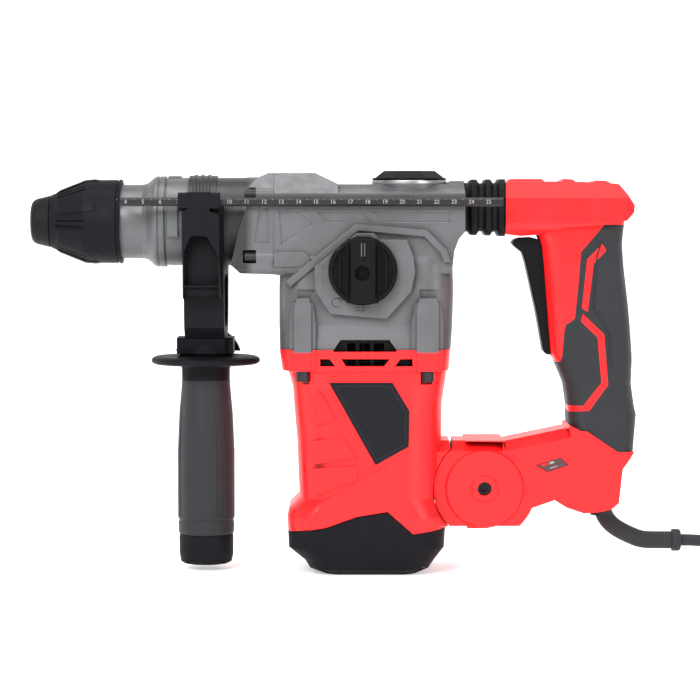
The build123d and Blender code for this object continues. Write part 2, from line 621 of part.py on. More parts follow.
with BuildPart() as armature_core:
    with BuildSketch(Plane.XY.offset(-148)):
        with Locations((MOTOR_X, 0)):
            Circle(ARMATURE_R)
            Circle(4.0, mode=Mode.SUBTRACT)
            with PolarLocations(ARMATURE_R - 4.5, 12):
                SlotCenterToCenter(7.0, 3.4, mode=Mode.SUBTRACT)
            with PolarLocations(ARMATURE_R, 12):
                Rectangle(4, 1.2, mode=Mode.SUBTRACT)
    extrude(amount=38)
save(armature_core, "armature_core")

with BuildPart() as armature_winding:
    for z0, z1, z2 in ((-110, -106, -104), (-148, -153, -156)):
        upright(MOTOR_X, 0, [(4.0, z0), (19.5, z0), (19.5, z1), (14, z2), (4.0, z2)])
    with BuildSketch(Plane.XY.offset(-148.2)):
        with Locations((MOTOR_X, 0)):
            with PolarLocations(ARMATURE_R - 4.5, 12):
                SlotCenterToCenter(6.6, 3.0)
    extrude(amount=38.4)
save(armature_winding, "armature_winding")

with BuildPart() as commutator:
    with BuildSketch(Plane.XY.offset(-173)):
        with Locations((MOTOR_X, 0)):
            Circle(12.0)
            Circle(4.0, mode=Mode.SUBTRACT)
            with PolarLocations(12.0, 24):
                Rectangle(2.0, 0.5, mode=Mode.SUBTRACT)
    extrude(amount=14)
    post(MOTOR_X, 0, -159.0, -157.0, 13.6)
    post(MOTOR_X, 0, -160, -156, 4.0, Mode.SUBTRACT)
save(commutator, "commutator")

with BuildPart() as cooling_fan:
    upright(MOTOR_X, 0, [(4.0, -86), (8, -86), (8, -83), (31.0, -82.2), (31.0, -81), (9, -80.6),
                         (8, -68), (4.0, -68)])
    for turn in range(14):
        with BuildSketch(Plane.XY.offset(-82)):
            with Locations(Location((MOTOR_X, 0), 360 / 14 * turn)):
                with Locations(Location((20, 0), 25)):
                    Rectangle(21, 1.4)
        extrude(amount=13)
save(cooling_fan, "cooling_fan")

STATOR_R = 35.95
with BuildPart() as stator_core:
    with BuildSketch(Plane.XY.offset(-150)):
        with Locations((MOTOR_X, 0)):
            Circle(STATOR_R)
            Circle(ARMATURE_R + 0.5, mode=Mode.SUBTRACT)
            for side in (-1, 1):
                with Locations((0, side * 24)):
                    Rectangle(46, 6.4, mode=Mode.SUBTRACT)
    extrude(amount=42)
save(stator_core, "stator_core")

with BuildPart() as field_windings:
    for side in (-1, 1):
        y0, y1 = sorted((side * 21.4, side * 26.6))
        block((MOTOR_X - 22.4, MOTOR_X - 15.5), (y0, y1), (-158, -100))
        block((MOTOR_X + 15.5, MOTOR_X + 22.4), (y0, y1), (-158, -100))
        for z0, z1 in ((-158, -150.5), (-107.5, -100)):
            y2, y3 = sorted((side * 24.6, side * 28.0))
            block((MOTOR_X - 22.4, MOTOR_X + 22.4), (y2, y3), (z0, z1))
save(field_windings, "field_windings")

with BuildPart() as brush_holders:
    for side in (-1, 1):
        y0, y1 = sorted((side * 14.5, side * 35.4))
        block((MOTOR_X - 5.5, MOTOR_X + 5.5), (y0, y1), (-172.5, -160.5))
        y0, y1 = sorted((side * 13.5, side * 33))
        block((MOTOR_X - 3.3, MOTOR_X + 3.3), (y0, y1), (-171, -162), Mode.SUBTRACT)
save(brush_holders, "brush_holders")

with BuildPart() as carbon_brushes:
    for side in (-1, 1):
        y0, y1 = sorted((side * 12.2, side * 26))
        block((MOTOR_X - 3.25, MOTOR_X + 3.25), (y0, y1), (-170.95, -162.05))
save(carbon_brushes, "carbon_brushes")

# ---- Motor housing and end cover ----------------------------------------------------------------

CUP_R = 36.0
BODY = [(-207.5, 172.0, 226.0, 26, 10), (-204.0, 163.2, 233.4, 32, 14),
        (-199.2, 160.4, 236.4, 34.5, 15), (-191.5, 150.8, 242.4, 37.5, 18),
        (-173.0, 149.9, 243.5, 38.6, 20), (-168.6, 150.8, 243.2, MOTOR_HALF, 22),
        (-162.2, 157.0, 240.8, MOTOR_HALF, 24), (-130, 155.8, 240.8, MOTOR_HALF, 24),
        (-106, 153.9, 241.1, MOTOR_HALF, 23), (-97, 153.3, 242.4, MOTOR_HALF, 22),
        (-87.8, 150.8, 243.6, MOTOR_HALF, 20), (-86.6, 147.2, 244.8, 39.6, 18),
        (RIM_Z, 145.6, 245.8, 40.2, 18)]
COVER_EDGE = [(151.4, -181.5), (172.9, -178.0), (190.8, -171.6), (208.8, -168.6),
              (223.8, -182.0), (243.0, -179.5)]

with BuildPart() as motor_body:
    tower(BODY)

with BuildPart() as end_cover:
    add(motor_body.part)
    plate([(140, -210), (140, -181.8)] + [(x, z - 0.3) for x, z in COVER_EDGE]
          + [(255, -179.8), (255, -210)], -50, 50, Mode.INTERSECT)
    upright(MOTOR_X, 0, [(0, -203.5), (20, -203.5), (27, -199), (33, -191), (CUP_R, -186),
                         (CUP_R, -160), (0, -160)], Mode.SUBTRACT)
    # seat of the lower motor bearing
    post(MOTOR_X, 0, -204, -189, 14.0)
    post(MOTOR_X, 0, -196, -188, 11.0, Mode.SUBTRACT)
    post(MOTOR_X, 0, -199, -188, 6.0, Mode.SUBTRACT)
    for x in (171.2, 227.6):
        for y in (-25.5, 25.5):
            post(x, y, -209, -200.5, 3.7, Mode.SUBTRACT)
            post(x, y, -202, -180, 2.1, Mode.SUBTRACT)
    # air slots in the bottom
    for x in (183, 190, 197, 204, 211):
        block((x - 1.4, x + 1.4), (-24, -16), (-209, -200), Mode.SUBTRACT)
        block((x - 1.4, x + 1.4), (16, 24), (-209, -200), Mode.SUBTRACT)
save(end_cover, "end_cover")

with BuildPart() as end_cover_screws:
    socket_screws([(x, y, -200.5) for x in (171.2, 227.6) for y in (-25.5, 25.5)], (0, 0, -1),
                  3.4, 2.8, 2.0, 14)
save(end_cover_screws, "end_cover_screws")

BADGE = [(174.8, -93.4), (211.6, -93.4), (221.4, -109.8), (221.0, -130.6), (201.8, -141.4)]
ARM_CUT = 0.6  # clearance between the yoke and the rear handle's round end
ARM_END_R = 30.2

with BuildPart() as motor_housing:
    add(motor_body.part)
    # the yoke towards the rear handle, sweeping out of the side
    with BuildPart(mode=Mode.PRIVATE) as yoke:
        plate([(171, -163), (199, -147.2), (226, -133.5), (231, -129.2), (262, -129.2),
               (262, -178.0), (244.8, -179.9), (224.0, -183.4), (208.8, -168.6),
               (190.8, -171.6), (172.9, -178.0), (163, -180)], -41, 41)
        bar(mirrored([(41, -190), (41, -136), (22.6, -134.6), (14, -129.2)]), 150, 265,
            Mode.INTERSECT)
        with BuildSketch(Plane.XY.offset(-190)):
            with BuildLine():
                Polyline((150, -39.6), (214, -39.6), (233, -29), (243, -22.6), (265, -22.0),
                         (265, 22.0), (243, 22.6), (233, 29), (214, 39.6), (150, 39.6),
                         close=True)
            make_face()
        extrude(amount=70, mode=Mode.INTERSECT)
    add(yoke.part)
    plate([(140, -210), (140, -181.5)] + COVER_EDGE + [(265, -175.6), (265, -210)], -50, 50,
          Mode.SUBTRACT)
    # rim columns over the screw heads
    for x0, x1 in COLUMNS:
        both_sides([(x0, -86.6), (x1, -86.6), (x1, RIM_Z - 1.4), (x0, RIM_Z - 1.4)], 30, 41.4)
        both_sides([(x0 - 2.6, -86.6), (x1 + 2.6, -86.6), (x1 + 2.6, RIM_Z), (x0 - 2.6, RIM_Z)],
                   30, 40.9)
    for x0, x1 in COLUMNS:
        both_sides([(x0 - 0.1, RIM_Z - 1.4), (x1 + 0.1, RIM_Z - 1.4), (x1 + 0.1, RIM_Z + 1),
                    (x0 - 0.1, RIM_Z + 1)], 27.5, 42, Mode.SUBTRACT)
    # front ear with a bite out of it
    plate([(145.6, RIM_Z), (150, RIM_Z), (150, -87), (147.4, -84), (145.9, -80.4),
           (147.2, -78.6)], -12, 12)
    # embossed scallops on both sides
    for scallop in ([(168, -98.5), (172, -101.5), (178.0, -115.2), (166.6, -118.0)],
                    [(166, -127.2), (183.0, -125.4), (190.8, -137.0), (165.5, -140.8)],
                    [(165, -143.5), (191.6, -141.8), (190.8, -150.2), (171.8, -157.0),
                     (166, -158.5)]):
        both_sides(scallop, MOTOR_HALF - 4, MOTOR_HALF + 0.9)
    # badge recess on both sides
    both_sides(BADGE, MOTOR_HALF - 0.7, MOTOR_HALF + 3, Mode.SUBTRACT)
    # inside
    post(MOTOR_X, 0, -190, -86, CUP_R, Mode.SUBTRACT)
    tower([(-86.1, 152, 240, 35.0, 14), (RIM_Z + 1, 152, 240, 36.0, 14)], Mode.SUBTRACT)
    # three exhaust slots on each side of the rim
    slots = ([(169.6, -83.8), (178.4, -83.8), (175.0, -79.5), (169.6, -79.5)],
             [(184.6, -83.8), (206.6, -83.8), (210.0, -79.5), (182.0, -79.5)],
             [(212.9, -83.8), (223.2, -83.8), (223.2, -79.5), (216.2, -79.5)])
    for slot in slots:
        both_sides(slot, 32, 45, Mode.SUBTRACT)
    both_sides([(176.2, RIM_Z + 1), (177.8, RIM_Z - 0.9), (213.6, RIM_Z - 0.9),
                (215.4, RIM_Z + 1)], 32, 45, Mode.SUBTRACT)
    # screw shank holes and head seats
    for x0, x1 in COLUMNS:
        for side in (-1, 1):
            post((x0 + x1) / 2, side * SCREW_Y, -88, RIM_Z + 1, 2.25, Mode.SUBTRACT)
            post((x0 + x1) / 2, side * SCREW_Y, -94.5, -86.6, 4.1, Mode.SUBTRACT)
    # clearance for the rear handle's round end, then the tongue with the pivot hole
    peg(PIVOT_X, PIVOT_Z, -50, 50, ARM_END_R + ARM_CUT, Mode.SUBTRACT)
    plate([(245.6, -120), (245.6, -131.4), (247, -136), (266, -136), (266, -120)], -50, 50,
          Mode.SUBTRACT)
    plate([(228, -150.5), (PIVOT_X, -147.1), (PIVOT_X, -167.1), (228, -165)], -8.7, 8.7)
    peg(PIVOT_X, PIVOT_Z, -8.7, 8.7, 10.0)
    post(MOTOR_X, 0, -190, -86, CUP_R, Mode.SUBTRACT)
    peg(PIVOT_X, PIVOT_Z, -10, 10, 6.0, Mode.SUBTRACT)
save(motor_housing, "motor_housing")

with BuildPart() as badge_plate:
    plate(BADGE, -MOTOR_HALF - 0.3, 0)
    plate([(150, -150), (240, -150), (240, -80), (150, -80)], -MOTOR_HALF + 0.7, 1, Mode.SUBTRACT)
save(badge_plate, "badge_plate")

with BuildPart() as motor_housing_screws:
    socket_screws([((x0 + x1) / 2, side * SCREW_Y, -86.6) for x0, x1 in COLUMNS
                   for side in (-1, 1)], (0, 0, -1), 3.8, 6.2, 2.1, 28)
save_group([front_housing_screws, motor_housing_screws], "housing_screws")

with BuildPart() as vent_baffle:
    frame = [(171, -84.6), (222, -84.6), (222, -79), (214.4, RIM_Z - 1.6), (209.6, -68.8),
             (181.6, -68.8), (177.0, RIM_Z - 1.6), (171, -79)]
    both_sides(frame, 33.4, 34.8)
    for x in (184.2, 191.2, 199.6, 208.0):
        both_sides([(x - 0.8, -84.4), (x + 0.8, -84.4), (x + 0.8, -70.4), (x - 0.8, -70.4)],
                   34.8, 35.9 - 1.0)
    for x0, x1 in ((185.4, 190.0), (192.4, 198.4), (200.8, 206.8)):
        both_sides([(x0, -83.4), (x1, -83.4), (x1, -70.6), (x0, -70.6)], 33, 36, Mode.SUBTRACT)
save(vent_baffle, "vent_baffle")

with BuildPart() as pivot_pin:
    peg(PIVOT_X, PIVOT_Z, -18.3, 18.3, 6.0)
    for side in (-1, 1):
        with BuildSketch(Plane.XZ.offset(18.3) if side < 0 else Plane.XZ.offset(-18.3)):
            with Locations((PIVOT_X, PIVOT_Z)):
                RegularPolygon(2.6, 6)
        extrude(amount=3 * side, mode=Mode.SUBTRACT)
save(pivot_pin, "pivot_pin")

# ---- Rear handle ----------------------------------------------------------------------------------

GRIP = [(3.0, 299.0, 349.0, 18.0, 6), (-8.0, 298.2, 347.8, 18.0, 7),
        (-14.0, 300.2, 347.5, 18.0, 8), (-27.0, 301.5, 348.6, 18.0, 9),
        (-50.0, 303.4, 351.4, 18.0, 9), (-62.0, 304.4, 352.5, 18.0, 9),
        (-78.0, 305.8, 353.7, 18.0, 9), (-82.6, 308.4, 353.8, 18.0, 9),
        (-96.0, 314.0, 353.4, 18.2, 10), (-109.0, 315.9, 355.2, 18.8, 10),
        (-114.0, 316.0, 356.4, 19.4, 10), (-122.0, 316.4, 355.6, 20.6, 10),
        (-137.0, 318.0, 354.2, 22.0, 9)]
RUBBER_EDGE = [(336.2, -1.8), (322.6, -17.9), (321.2, -36.4), (319.2, -56.9), (313.8, -60.7),
               (312.9, -65.6), (311.9, -79.3), (310.8, -82.6), (302.0, -82.6),
               (302.0, -119.8), (316.2, -119.8), (323.2, -123.2), (326.3, -123.2),
               (344.6, -135.5), (364.0, -135.5), (364.0, -1.8)]
STRIPES = ([(335.1, -13.0), (337.5, -16.9), (330.1, -24.7), (326.8, -53.0), (323.4, -50.9),
            (326.3, -22.2)],
           [(323.9, -54.3), (336.5, -66.1), (339.0, -96.2), (327.9, -111.3), (303.0, -112.8),
            (303.0, -108.9), (324.4, -108.4), (335.1, -94.8), (332.7, -68.0), (322.9, -58.7)])
TRIGGER_X, TRIGGER_Z = 308.3, -74.4
GUARD_X, CORD_Z = 337.0, -190.3
SKIN = 2.0  # thickness of the rubber over the shells


def grip_tower(inset):
    """The grip's levels, drawn in by inset on every side."""
    return [(z, x0 + inset, x1 - inset, half - inset, max(corner - inset, 1.5))
            for z, x0, x1, half, corner in GRIP]


with BuildPart() as grip_cover:
    tower(grip_tower(0))
    plate(RUBBER_EDGE, -30, 30, Mode.INTERSECT)
    tower(grip_tower(SKIN), Mode.SUBTRACT)
    for stripe in STRIPES:
        plate(stripe, -30, 30, Mode.SUBTRACT)
    # thumb ridges at the back
    for z in (-66.2, -76.0, -87.6):
        block((349.0, 360), (-12, 12), (z - 0.9, z + 0.9), Mode.SUBTRACT)

with BuildPart() as handle_solid:
    plate([(278.2, -7.3), (287.6, -8.5), (300, -7.4), (312, -3.6), (338, -1.7), (349.4, 0.8),
           (353.3, 5.4), (353.6, 9.6), (349.4, 16.4), (345.0, 22.0), (340.2, 22.6),
           (337.4, 24.1), (331.2, 24.2), (329.6, 23.1), (319.6, 23.5), (317.8, 24.9),
           (312.6, 25.1), (310.8, 23.6), (301.3, 23.6), (299.8, 25.1), (281.4, 25.1),
           (278.2, 22.4)], -ARM_HALF, ARM_HALF)
    bar(mirrored([(15.0, -9.0), (20.6, -4.6), (ARM_HALF, -1.0), (ARM_HALF, 13.8), (15.0, 23.6),
                  (12.0, 25.6)]), 270, 360, Mode.INTERSECT)
    tower(grip_tower(0))
    # arm and round end
    with BuildPart(mode=Mode.PRIVATE) as arm:
        plate([(247.6, -129.2), (277.0, -129.8), (314.6, -122.0), (316.4, -119.8),
               (323.2, -123.2), (326.3, -123.2), (344.6, -135.5), (354.3, -135.5),
               (351.4, -140.4), (347.6, -145.6), (345.4, -165.8), (341.0, -169.4),
               (334.6, -170.9), (325.1, -171.8), (314.6, -168.3), (307.5, -163.9),
               (283.3, -172.4), (268.0, -180.6), (256.0, -180.6), (256, -140),
               (246.6, -134.4), (247.8, -131.2)], -ARM_HALF, ARM_HALF)
        with BuildSketch(Plane.XZ.offset(-ARM_HALF)):
            with Locations((PIVOT_X, PIVOT_Z)):
                Circle(ARM_END_R)
            with Locations((PIVOT_X, -200), (PIVOT_X, -108)):
                Rectangle(80, 42.4 - 0.8, mode=Mode.SUBTRACT)
        extrude(amount=2 * ARM_HALF)
        # sloping shoulders along the top
        for x0, z0, x1, z1 in ((240, -129.2, 277.0, -129.8), (277.0, -129.8, 316.0, -121.8)):
            with BuildSketch(Plane(origin=(x0, 0, z0), x_dir=(0, 1, 0),
                                   z_dir=(x1 - x0, 0, z1 - z0))):
                with BuildLine():
                    Polyline((13, 0.3), (24, 0.3), (24, -7.0), (22.4, -5.6), close=True)
                make_face()
                mirror(about=Plane.YZ)
            extrude(amount=hypot(x1 - x0, z1 - z0), mode=Mode.SUBTRACT)
    add(arm.part)
    # raised pivot discs with an embossed ring
    for side in (-1, 1):
        with BuildSketch(Plane.XZ.offset(side * ARM_HALF)):
            with Locations((PIVOT_X, PIVOT_Z)):
                Circle(23.2)
        extrude(amount=1.6 * side, taper=30)
    for y0, y1 in ((-30, -ARM_HALF - 1.1), (ARM_HALF + 1.1, 30)):
        with BuildSketch(Plane.XZ.offset(-y1)):
            with Locations((PIVOT_X, PIVOT_Z)):
                Circle(8.4)
                Circle(7.4, mode=Mode.SUBTRACT)
        extrude(amount=y1 - y0, mode=Mode.SUBTRACT)

with BuildPart() as handle_hollow:
    block((281, 347), (-18, 18), (1.6, 18))
    block((281, 345), (-13, 13), (-3, 2))
    tower(grip_tower(SKIN + 2.8))
    plate([(262, -134.5), (278, -134.5), (314, -127.5), (322, -127), (340, -138), (345, -142),
           (343.4, -150), (343.0, -166.2), (334, -166.9), (325, -167.6), (315, -164.4),
           (307.5, -159.7), (283, -168), (268, -176), (256, -173), (247, -164), (244, -157),
           (247, -150), (254, -142)], -18.6, 18.6)

with BuildPart() as handle_shells:
    add(handle_solid.part)
    add(handle_hollow.part, mode=Mode.SUBTRACT)
    # pivot bosses, the pin's seats and the holes that show its ends
    for side in (-1, 1):
        y0, y1 = sorted((side * 9.2, side * 18.8))
        peg(PIVOT_X, PIVOT_Z, y0, y1, 10.5)
    # bosses for the shell screws
    for x, z in ((286.5, 1.5), (341.5, -24.0), (347.0, -100.0), (300.0, -151.0)):
        reach = 15 if -120 < z < 0 else 18.6
        peg(x, z, -reach, reach, 4.2)
    add(grip_cover.part, mode=Mode.SUBTRACT)
    peg(PIVOT_X, PIVOT_Z, -18.5, 18.5, 6.0 + RUN, Mode.SUBTRACT)
    peg(PIVOT_X, PIVOT_Z, -30, 30, 4.2, Mode.SUBTRACT)
    # slot in front for the motor housing's tongue
    block((230, PIVOT_X), (-9.2, 9.2), (-171.5, -143.5), Mode.SUBTRACT)
    peg(PIVOT_X, PIVOT_Z, -9.2, 9.2, 15, Mode.SUBTRACT)
    # trigger slot and the trigger's pivot holes
    plate([(280, -14), (281, -5), (320, -5), (316.5, -40), (313.6, -79.8), (296, -79.8)],
          -9.4, 9.4, Mode.SUBTRACT)
    peg(TRIGGER_X, TRIGGER_Z, -11.4, 11.4, 2.0 + RUN, Mode.SUBTRACT)
    # recess for the indicator lens on the near side
    plate([(296.2, -143.1), (310.8, -138.6), (316.1, -143.1), (303.2, -147.4)], -23, -20.8,
          Mode.SUBTRACT)
    # small round marks
    for x, z in ((283.1, -138.8), (291.2, -159.2)):
        peg(x, z, -23, -21.6, 1.6, Mode.SUBTRACT)
    # cord guard outlet and guide rod seat
    post(GUARD_X, 0, -176, -160, 5.6, Mode.SUBTRACT)
    axle(276, 283, 3.0, 0, 10, Mode.SUBTRACT)
    # screw holes from the far side
    for x, z in ((286.5, 1.5), (341.5, -24.0), (347.0, -100.0), (300.0, -151.0)):
        peg(x, z, -12, 30, 1.6, Mode.SUBTRACT)
        peg(x, z, 13.5 if z > -120 else 19.0, 30, 3.2, Mode.SUBTRACT)

for name, cover_name, keep in (("handle_shell_near", "grip_rubber_near", Keep.TOP),
                               ("handle_shell_far", "grip_rubber_far", Keep.BOTTOM)):
    with BuildPart() as half_shell:
        add(handle_shells.part)
        split(bisect_by=Plane.XZ, keep=keep)
    save(half_shell, name)
    with BuildPart() as half_cover:
        add(grip_cover.part)
        split(bisect_by=Plane.XZ, keep=keep)
    if keep == Keep.BOTTOM:
        with BuildPart() as half_cover:
            add(grip_cover.part)
            split(bisect_by=Plane.XZ, keep=keep)
            for x, z in ((341.5, -24.0), (347.0, -100.0)):
                peg(x, z, 10, 30, 3.4, Mode.SUBTRACT)
    save(half_cover, cover_name)

with BuildPart() as handle_screws:
    for x, z in ((286.5, 1.5), (341.5, -24.0), (347.0, -100.0), (300.0, -151.0)):
        seat = 13.5 if z > -120 else 19.0
        peg(x, z, -11.5, seat, 1.5)
        peg(x, z, seat, seat + 2.2, 3.0)
        for turn in (0, 90):
            with Locations(Location((x, seat + 2.2, z), (0, turn, 0))):
                Box(3.6, 2.4, 0.8, mode=Mode.SUBTRACT)
save(handle_screws, "handle_screws")

with BuildPart() as trigger:
    plate([(282.5, -12.4), (284.2, -10.6), (286.9, -9.6), (293.8, -9.2), (298.3, -10.4),
           (306.0, -14.4), (307.5, -40), (311.2, -70.6), (311.2, -77.4), (306.6, -78.6),
           (303.4, -78.6), (301.4, -76.6), (297.2, -53.5), (290.4, -23.3), (288.7, -18.3),
           (284.2, -14.7)], -9, 9)
    # rounded finger face
    fillet(trigger.edges().filter_by(lambda e: e.center().X < 297.5 and abs(e.center().Y) > 8
                                     and -60 < e.center().Z < -15), 2.2)
    peg(TRIGGER_X, TRIGGER_Z, -11.2, 11.2, 2.0)
save(trigger, "trigger")

with BuildPart() as power_switch:
    block((319.0, 342.0), (-8, 8), (-66, -30))
    block((316.0, 319.0), (-4, 4), (-50, -42))
    for z in (-36, -60):
        block((342.0, 344.0), (-2, 2), (z - 3, z + 3))
save(power_switch, "power_switch")

with BuildPart() as indicator_lens:
    plate([(296.9, -143.1), (310.7, -138.9), (315.4, -143.1), (303.3, -147.0)], -21.8, -20.8)
save(indicator_lens, "indicator_lens")

FOLDS = ((254.1, 18.6, -6.2, 23.0), (256.2, 18.6, -5.6, 22.6), (258.6, 20.4, -8.0, 24.8),
         (261.0, 20.4, -8.0, 24.8), (263.0, 18.4, -5.8, 22.6), (265.0, 18.4, -5.8, 22.6),
         (267.0, 20.4, -8.2, 24.9), (269.2, 20.4, -8.2, 24.9), (271.1, 18.4, -6.0, 22.8),
         (272.9, 18.4, -6.0, 22.8), (274.8, 20.4, -8.6, 25.0), (278.0, 20.4, -8.6, 25.0))


def bellows_form(inset):
    """The rectangular bellows as a straight loft through its folds."""
    rings = []
    for x, half, z0, z1 in FOLDS:
        with BuildSketch(Plane.YZ.offset(x)) as ring:
            with Locations((0, (z0 + z1) / 2)):
                RectangleRounded(2 * (half - inset), z1 - z0 - 2 * inset, 7 - inset)
        rings.append(ring.sketch)
    return rings


with BuildPart() as bellows:
    loft(bellows_form(0), ruled=True)
    loft(bellows_form(1.4), ruled=True, mode=Mode.SUBTRACT)
save(bellows, "bellows")

with BuildPart() as vibration_spring:
    spring(255.6, 276.6, 7.5, 1.1, 5, z=10)
save(vibration_spring, "vibration_spring")

with BuildPart() as guide_rod:
    axle(250.5, 283, 2.98, 0, 10)
    axle(281.1, 283, 6.0, 0, 10)
save(guide_rod, "guide_rod")

# ---- Supply cord --------------------------------------------------------------------------------

with BuildPart() as cable_guard:
    with BuildLine():
        Spline((GUARD_X, 0, -164), (GUARD_X + 6.6, 0, -181), (GUARD_X + 19, 0, -188),
               (379.5, 0, CORD_Z), tangents=[(0, 0, -1), (1, 0, 0)])
    with BuildSketch(Plane(origin=(GUARD_X, 0, -164), z_dir=(0, 0, -1))):
        Circle(5.2)
    sweep()
    post(GUARD_X, 0, -166.0, -164, 5.9)
    post(GUARD_X + 0.1, 0, -175.0, -172.2, 6.6)
    axle(379.4, 384.6, 6.6, 0, CORD_Z)
    fillet(cable_guard.edges().filter_by(GeomType.CIRCLE).group_by(Axis.X)[-1], 1.6)
save(cable_guard, "cable_guard")

COIL_X, COIL_Y = 504.1, 0.1
CORD_FLOOR = FLOOR + CORD_R
PLUG_X, PLUG_Y, PLUG_Z = 559.4, -32.2, FLOOR + 13.0  # where the cord enters the plug
PLUG_TURN = 15
LEAD = [(384.6, 0, CORD_Z), (406, 0, CORD_Z), (432, -7, -199), (452, -22, CORD_FLOOR),
        (467, -37, CORD_FLOOR)]

radii = []
for before, at, after in zip(LEAD, LEAD[1:], LEAD[2:]):
    first = Vector(*at) - Vector(*before)
    second = Vector(*after) - Vector(*at)
    turn = radians(first.get_angle(second))
    radii.append(0.45 * min(first.length, second.length) / tan(turn / 2))
print("cord bend radii", [round(r, 1) for r in radii])


def plug_plane(along):
    """Cross-section of the plug, this far from the cord's end."""
    turn = radians(PLUG_TURN)
    return Plane(origin=(PLUG_X + along * cos(turn), PLUG_Y + along * sin(turn), PLUG_Z),
                 x_dir=(-sin(turn), cos(turn), 0), z_dir=(cos(turn), sin(turn), 0))


# four turns lie on the floor and three in the hollows between them
with BuildPart() as cord_coil:
    upright(COIL_X, COIL_Y, [(30, FLOOR), (54, FLOOR), (56, FLOOR + 2), (56, FLOOR + 5),
                             (52.2, FLOOR + 11.6), (50.6, FLOOR + 13), (33.4, FLOOR + 13),
                             (31.8, FLOOR + 11.6), (28, FLOOR + 5), (28, FLOOR + 2)])
save(cord_coil, "cord_coil")

with BuildPart() as cord_lead:
    with BuildLine():
        FilletPolyline(*LEAD, radius=radii)
    with BuildSketch(Plane(origin=LEAD[0], z_dir=(1, 0, 0))):
        Circle(CORD_R)
    sweep()
    add(cord_coil.part, mode=Mode.SUBTRACT)
# straight tail from the top of the coil to the plug
with BuildPart() as cord_tail:
    with BuildSketch(plug_plane(0)) as section:
        Circle(CORD_R)
    extrude(section.sketch, amount=-46)
    add(cord_coil.part, mode=Mode.SUBTRACT)
save_group([cord_lead, cord_tail], "cord_lead")

with BuildPart() as cord_plug:
    for along, width, height, corner in ((0, 11.2, 11.2, 5.5), (10, 11.2, 11.2, 5.5)):
        with BuildSketch(plug_plane(along)):
            RectangleRounded(width, height, corner)
    loft()
    for along, width, height, corner in ((10, 16, 15, 7), (24, 26, 20, 9), (40, 35, 25, 10)):
        with BuildSketch(plug_plane(along)):
            RectangleRounded(width, height, corner)
    loft(ruled=True)
    with BuildSketch(plug_plane(40)) as rim:
        RectangleRounded(37, 25.6, 10)
    extrude(rim.sketch, amount=5)

with BuildPart() as plug_pins:
    for side in (-1, 1):
        with BuildSketch(plug_plane(45)) as pin:
            with Locations((side * 9.5, 0)):
                Circle(2.4)
        extrude(pin.sketch, amount=19)
save_group([cord_plug, plug_pins], "cord_plug")

with BuildPart() as cord_tie:
    with BuildSketch(Plane.XZ.offset(-COIL_Y)):
        with Locations((COIL_X + 42, FLOOR + 6.5)):
            RectangleRounded(31.0, 15.8, 5)
            RectangleRounded(29.0, 13.8, 4, mode=Mode.SUBTRACT)
    extrude(amount=6, both=True)
    block((COIL_X + 20, COIL_X + 66), (COIL_Y - 10, COIL_Y + 10), (FLOOR - 5, FLOOR + 0.02),
          Mode.SUBTRACT)
    add(cord_coil.part, mode=Mode.SUBTRACT)
save(cord_tie, "cord_tie")

# ---- Side handle and depth rod ----------------------------------------------------------------

BAND_R = 27.2
with BuildPart() as handle_bracket:
    # arch of two legs between the saddle and the foot
    bar(mirrored([(15, -78.2), (17.5, -69), (26.5, -62), (31.4, -27), (31.4, 4), (28.6, 9)]),
        89.8, 113.2)
    # near block that guides the depth rod
    plate([(89.8, -20), (89.8, 6.4), (93.0, 7.2), (93.0, 17.2), (105.8, 17.2), (105.8, 6.0),
           (111.4, 4.0), (111.4, -20)], -43.4, -28)
    axle(87.4, 111.6, 5.5, ROD_Y, ROD_Z)
    block((87.4, 111.6), (-43.5, -33.0), (8.0, 15.2))
    plate([(89.9, -44.4), (111.8, -44.4), (111.2, -20), (89.8, -20)], -39.6, -28)
    # foot with its tabs and round hub
    block((84.4, 117.8), (-11, 11), (-78.2, -68.6))
    post(SIDE_X, 0, -78.2, -70, 16.6)
    with BuildSketch(Plane.XZ.offset(-31.4)):
        with Locations((SIDE_X, -84)):
            Circle(20.2)
        with Locations((SIDE_X, -98.2)):
            Rectangle(60, 40, mode=Mode.SUBTRACT)
    extrude(amount=10)
    # collar bore, opening between the legs, saddle relief
    axle(80, 120, BAND_R + 0.05, mode=Mode.SUBTRACT)
    bar(mirrored([(10, -62.5), (18.5, -56), (23.0, -34), (14, -31.2)]), 80, 120, Mode.SUBTRACT)
    # deep pocket in the near leg and the step under it
    plate([(90.8, -36.8), (110.9, -36.8), (109.8, -17.6), (104.0, -8.2), (94.6, -8.2),
           (91.0, -17.4)], -50, -31.9, Mode.SUBTRACT)
    plate([(90.8, -44.2), (110.6, -44.2), (110.6, -37.8), (90.8, -37.8)], -50, -36.8,
          Mode.SUBTRACT)
    # rod hole and clamp bolt hole
    axle(80, 120, ROD_R + 0.05, ROD_Y, ROD_Z, Mode.SUBTRACT)
    post(SIDE_X, 0, -90, -50, 4.1, Mode.SUBTRACT)
save(handle_bracket, "handle_bracket")

with BuildPart() as clamp_band:
    turned([(92, COLLAR_R + RUN), (92, BAND_R), (94.6, BAND_R), (95.2, BAND_R + 0.6),
            (96.4, BAND_R + 0.6), (97, BAND_R), (98.6, BAND_R), (99.2, BAND_R + 0.6),
            (100.4, BAND_R + 0.6), (101, BAND_R), (102.6, BAND_R), (103.2, BAND_R + 0.6),
            (104.4, BAND_R + 0.6), (105, BAND_R), (108.4, BAND_R), (108.4, COLLAR_R + RUN)])
    add(handle_bracket.part, mode=Mode.SUBTRACT)
save(clamp_band, "clamp_band")

with BuildPart() as clamp_bolt:
    post(SIDE_X, 0, -97.5, -56, 4.0)
    with BuildSketch(Plane.XY.offset(-62.4)):
        with Locations((SIDE_X, 0)):
            RegularPolygon(7.0, 6)
    extrude(amount=5.4)
save(clamp_bolt, "clamp_bolt")

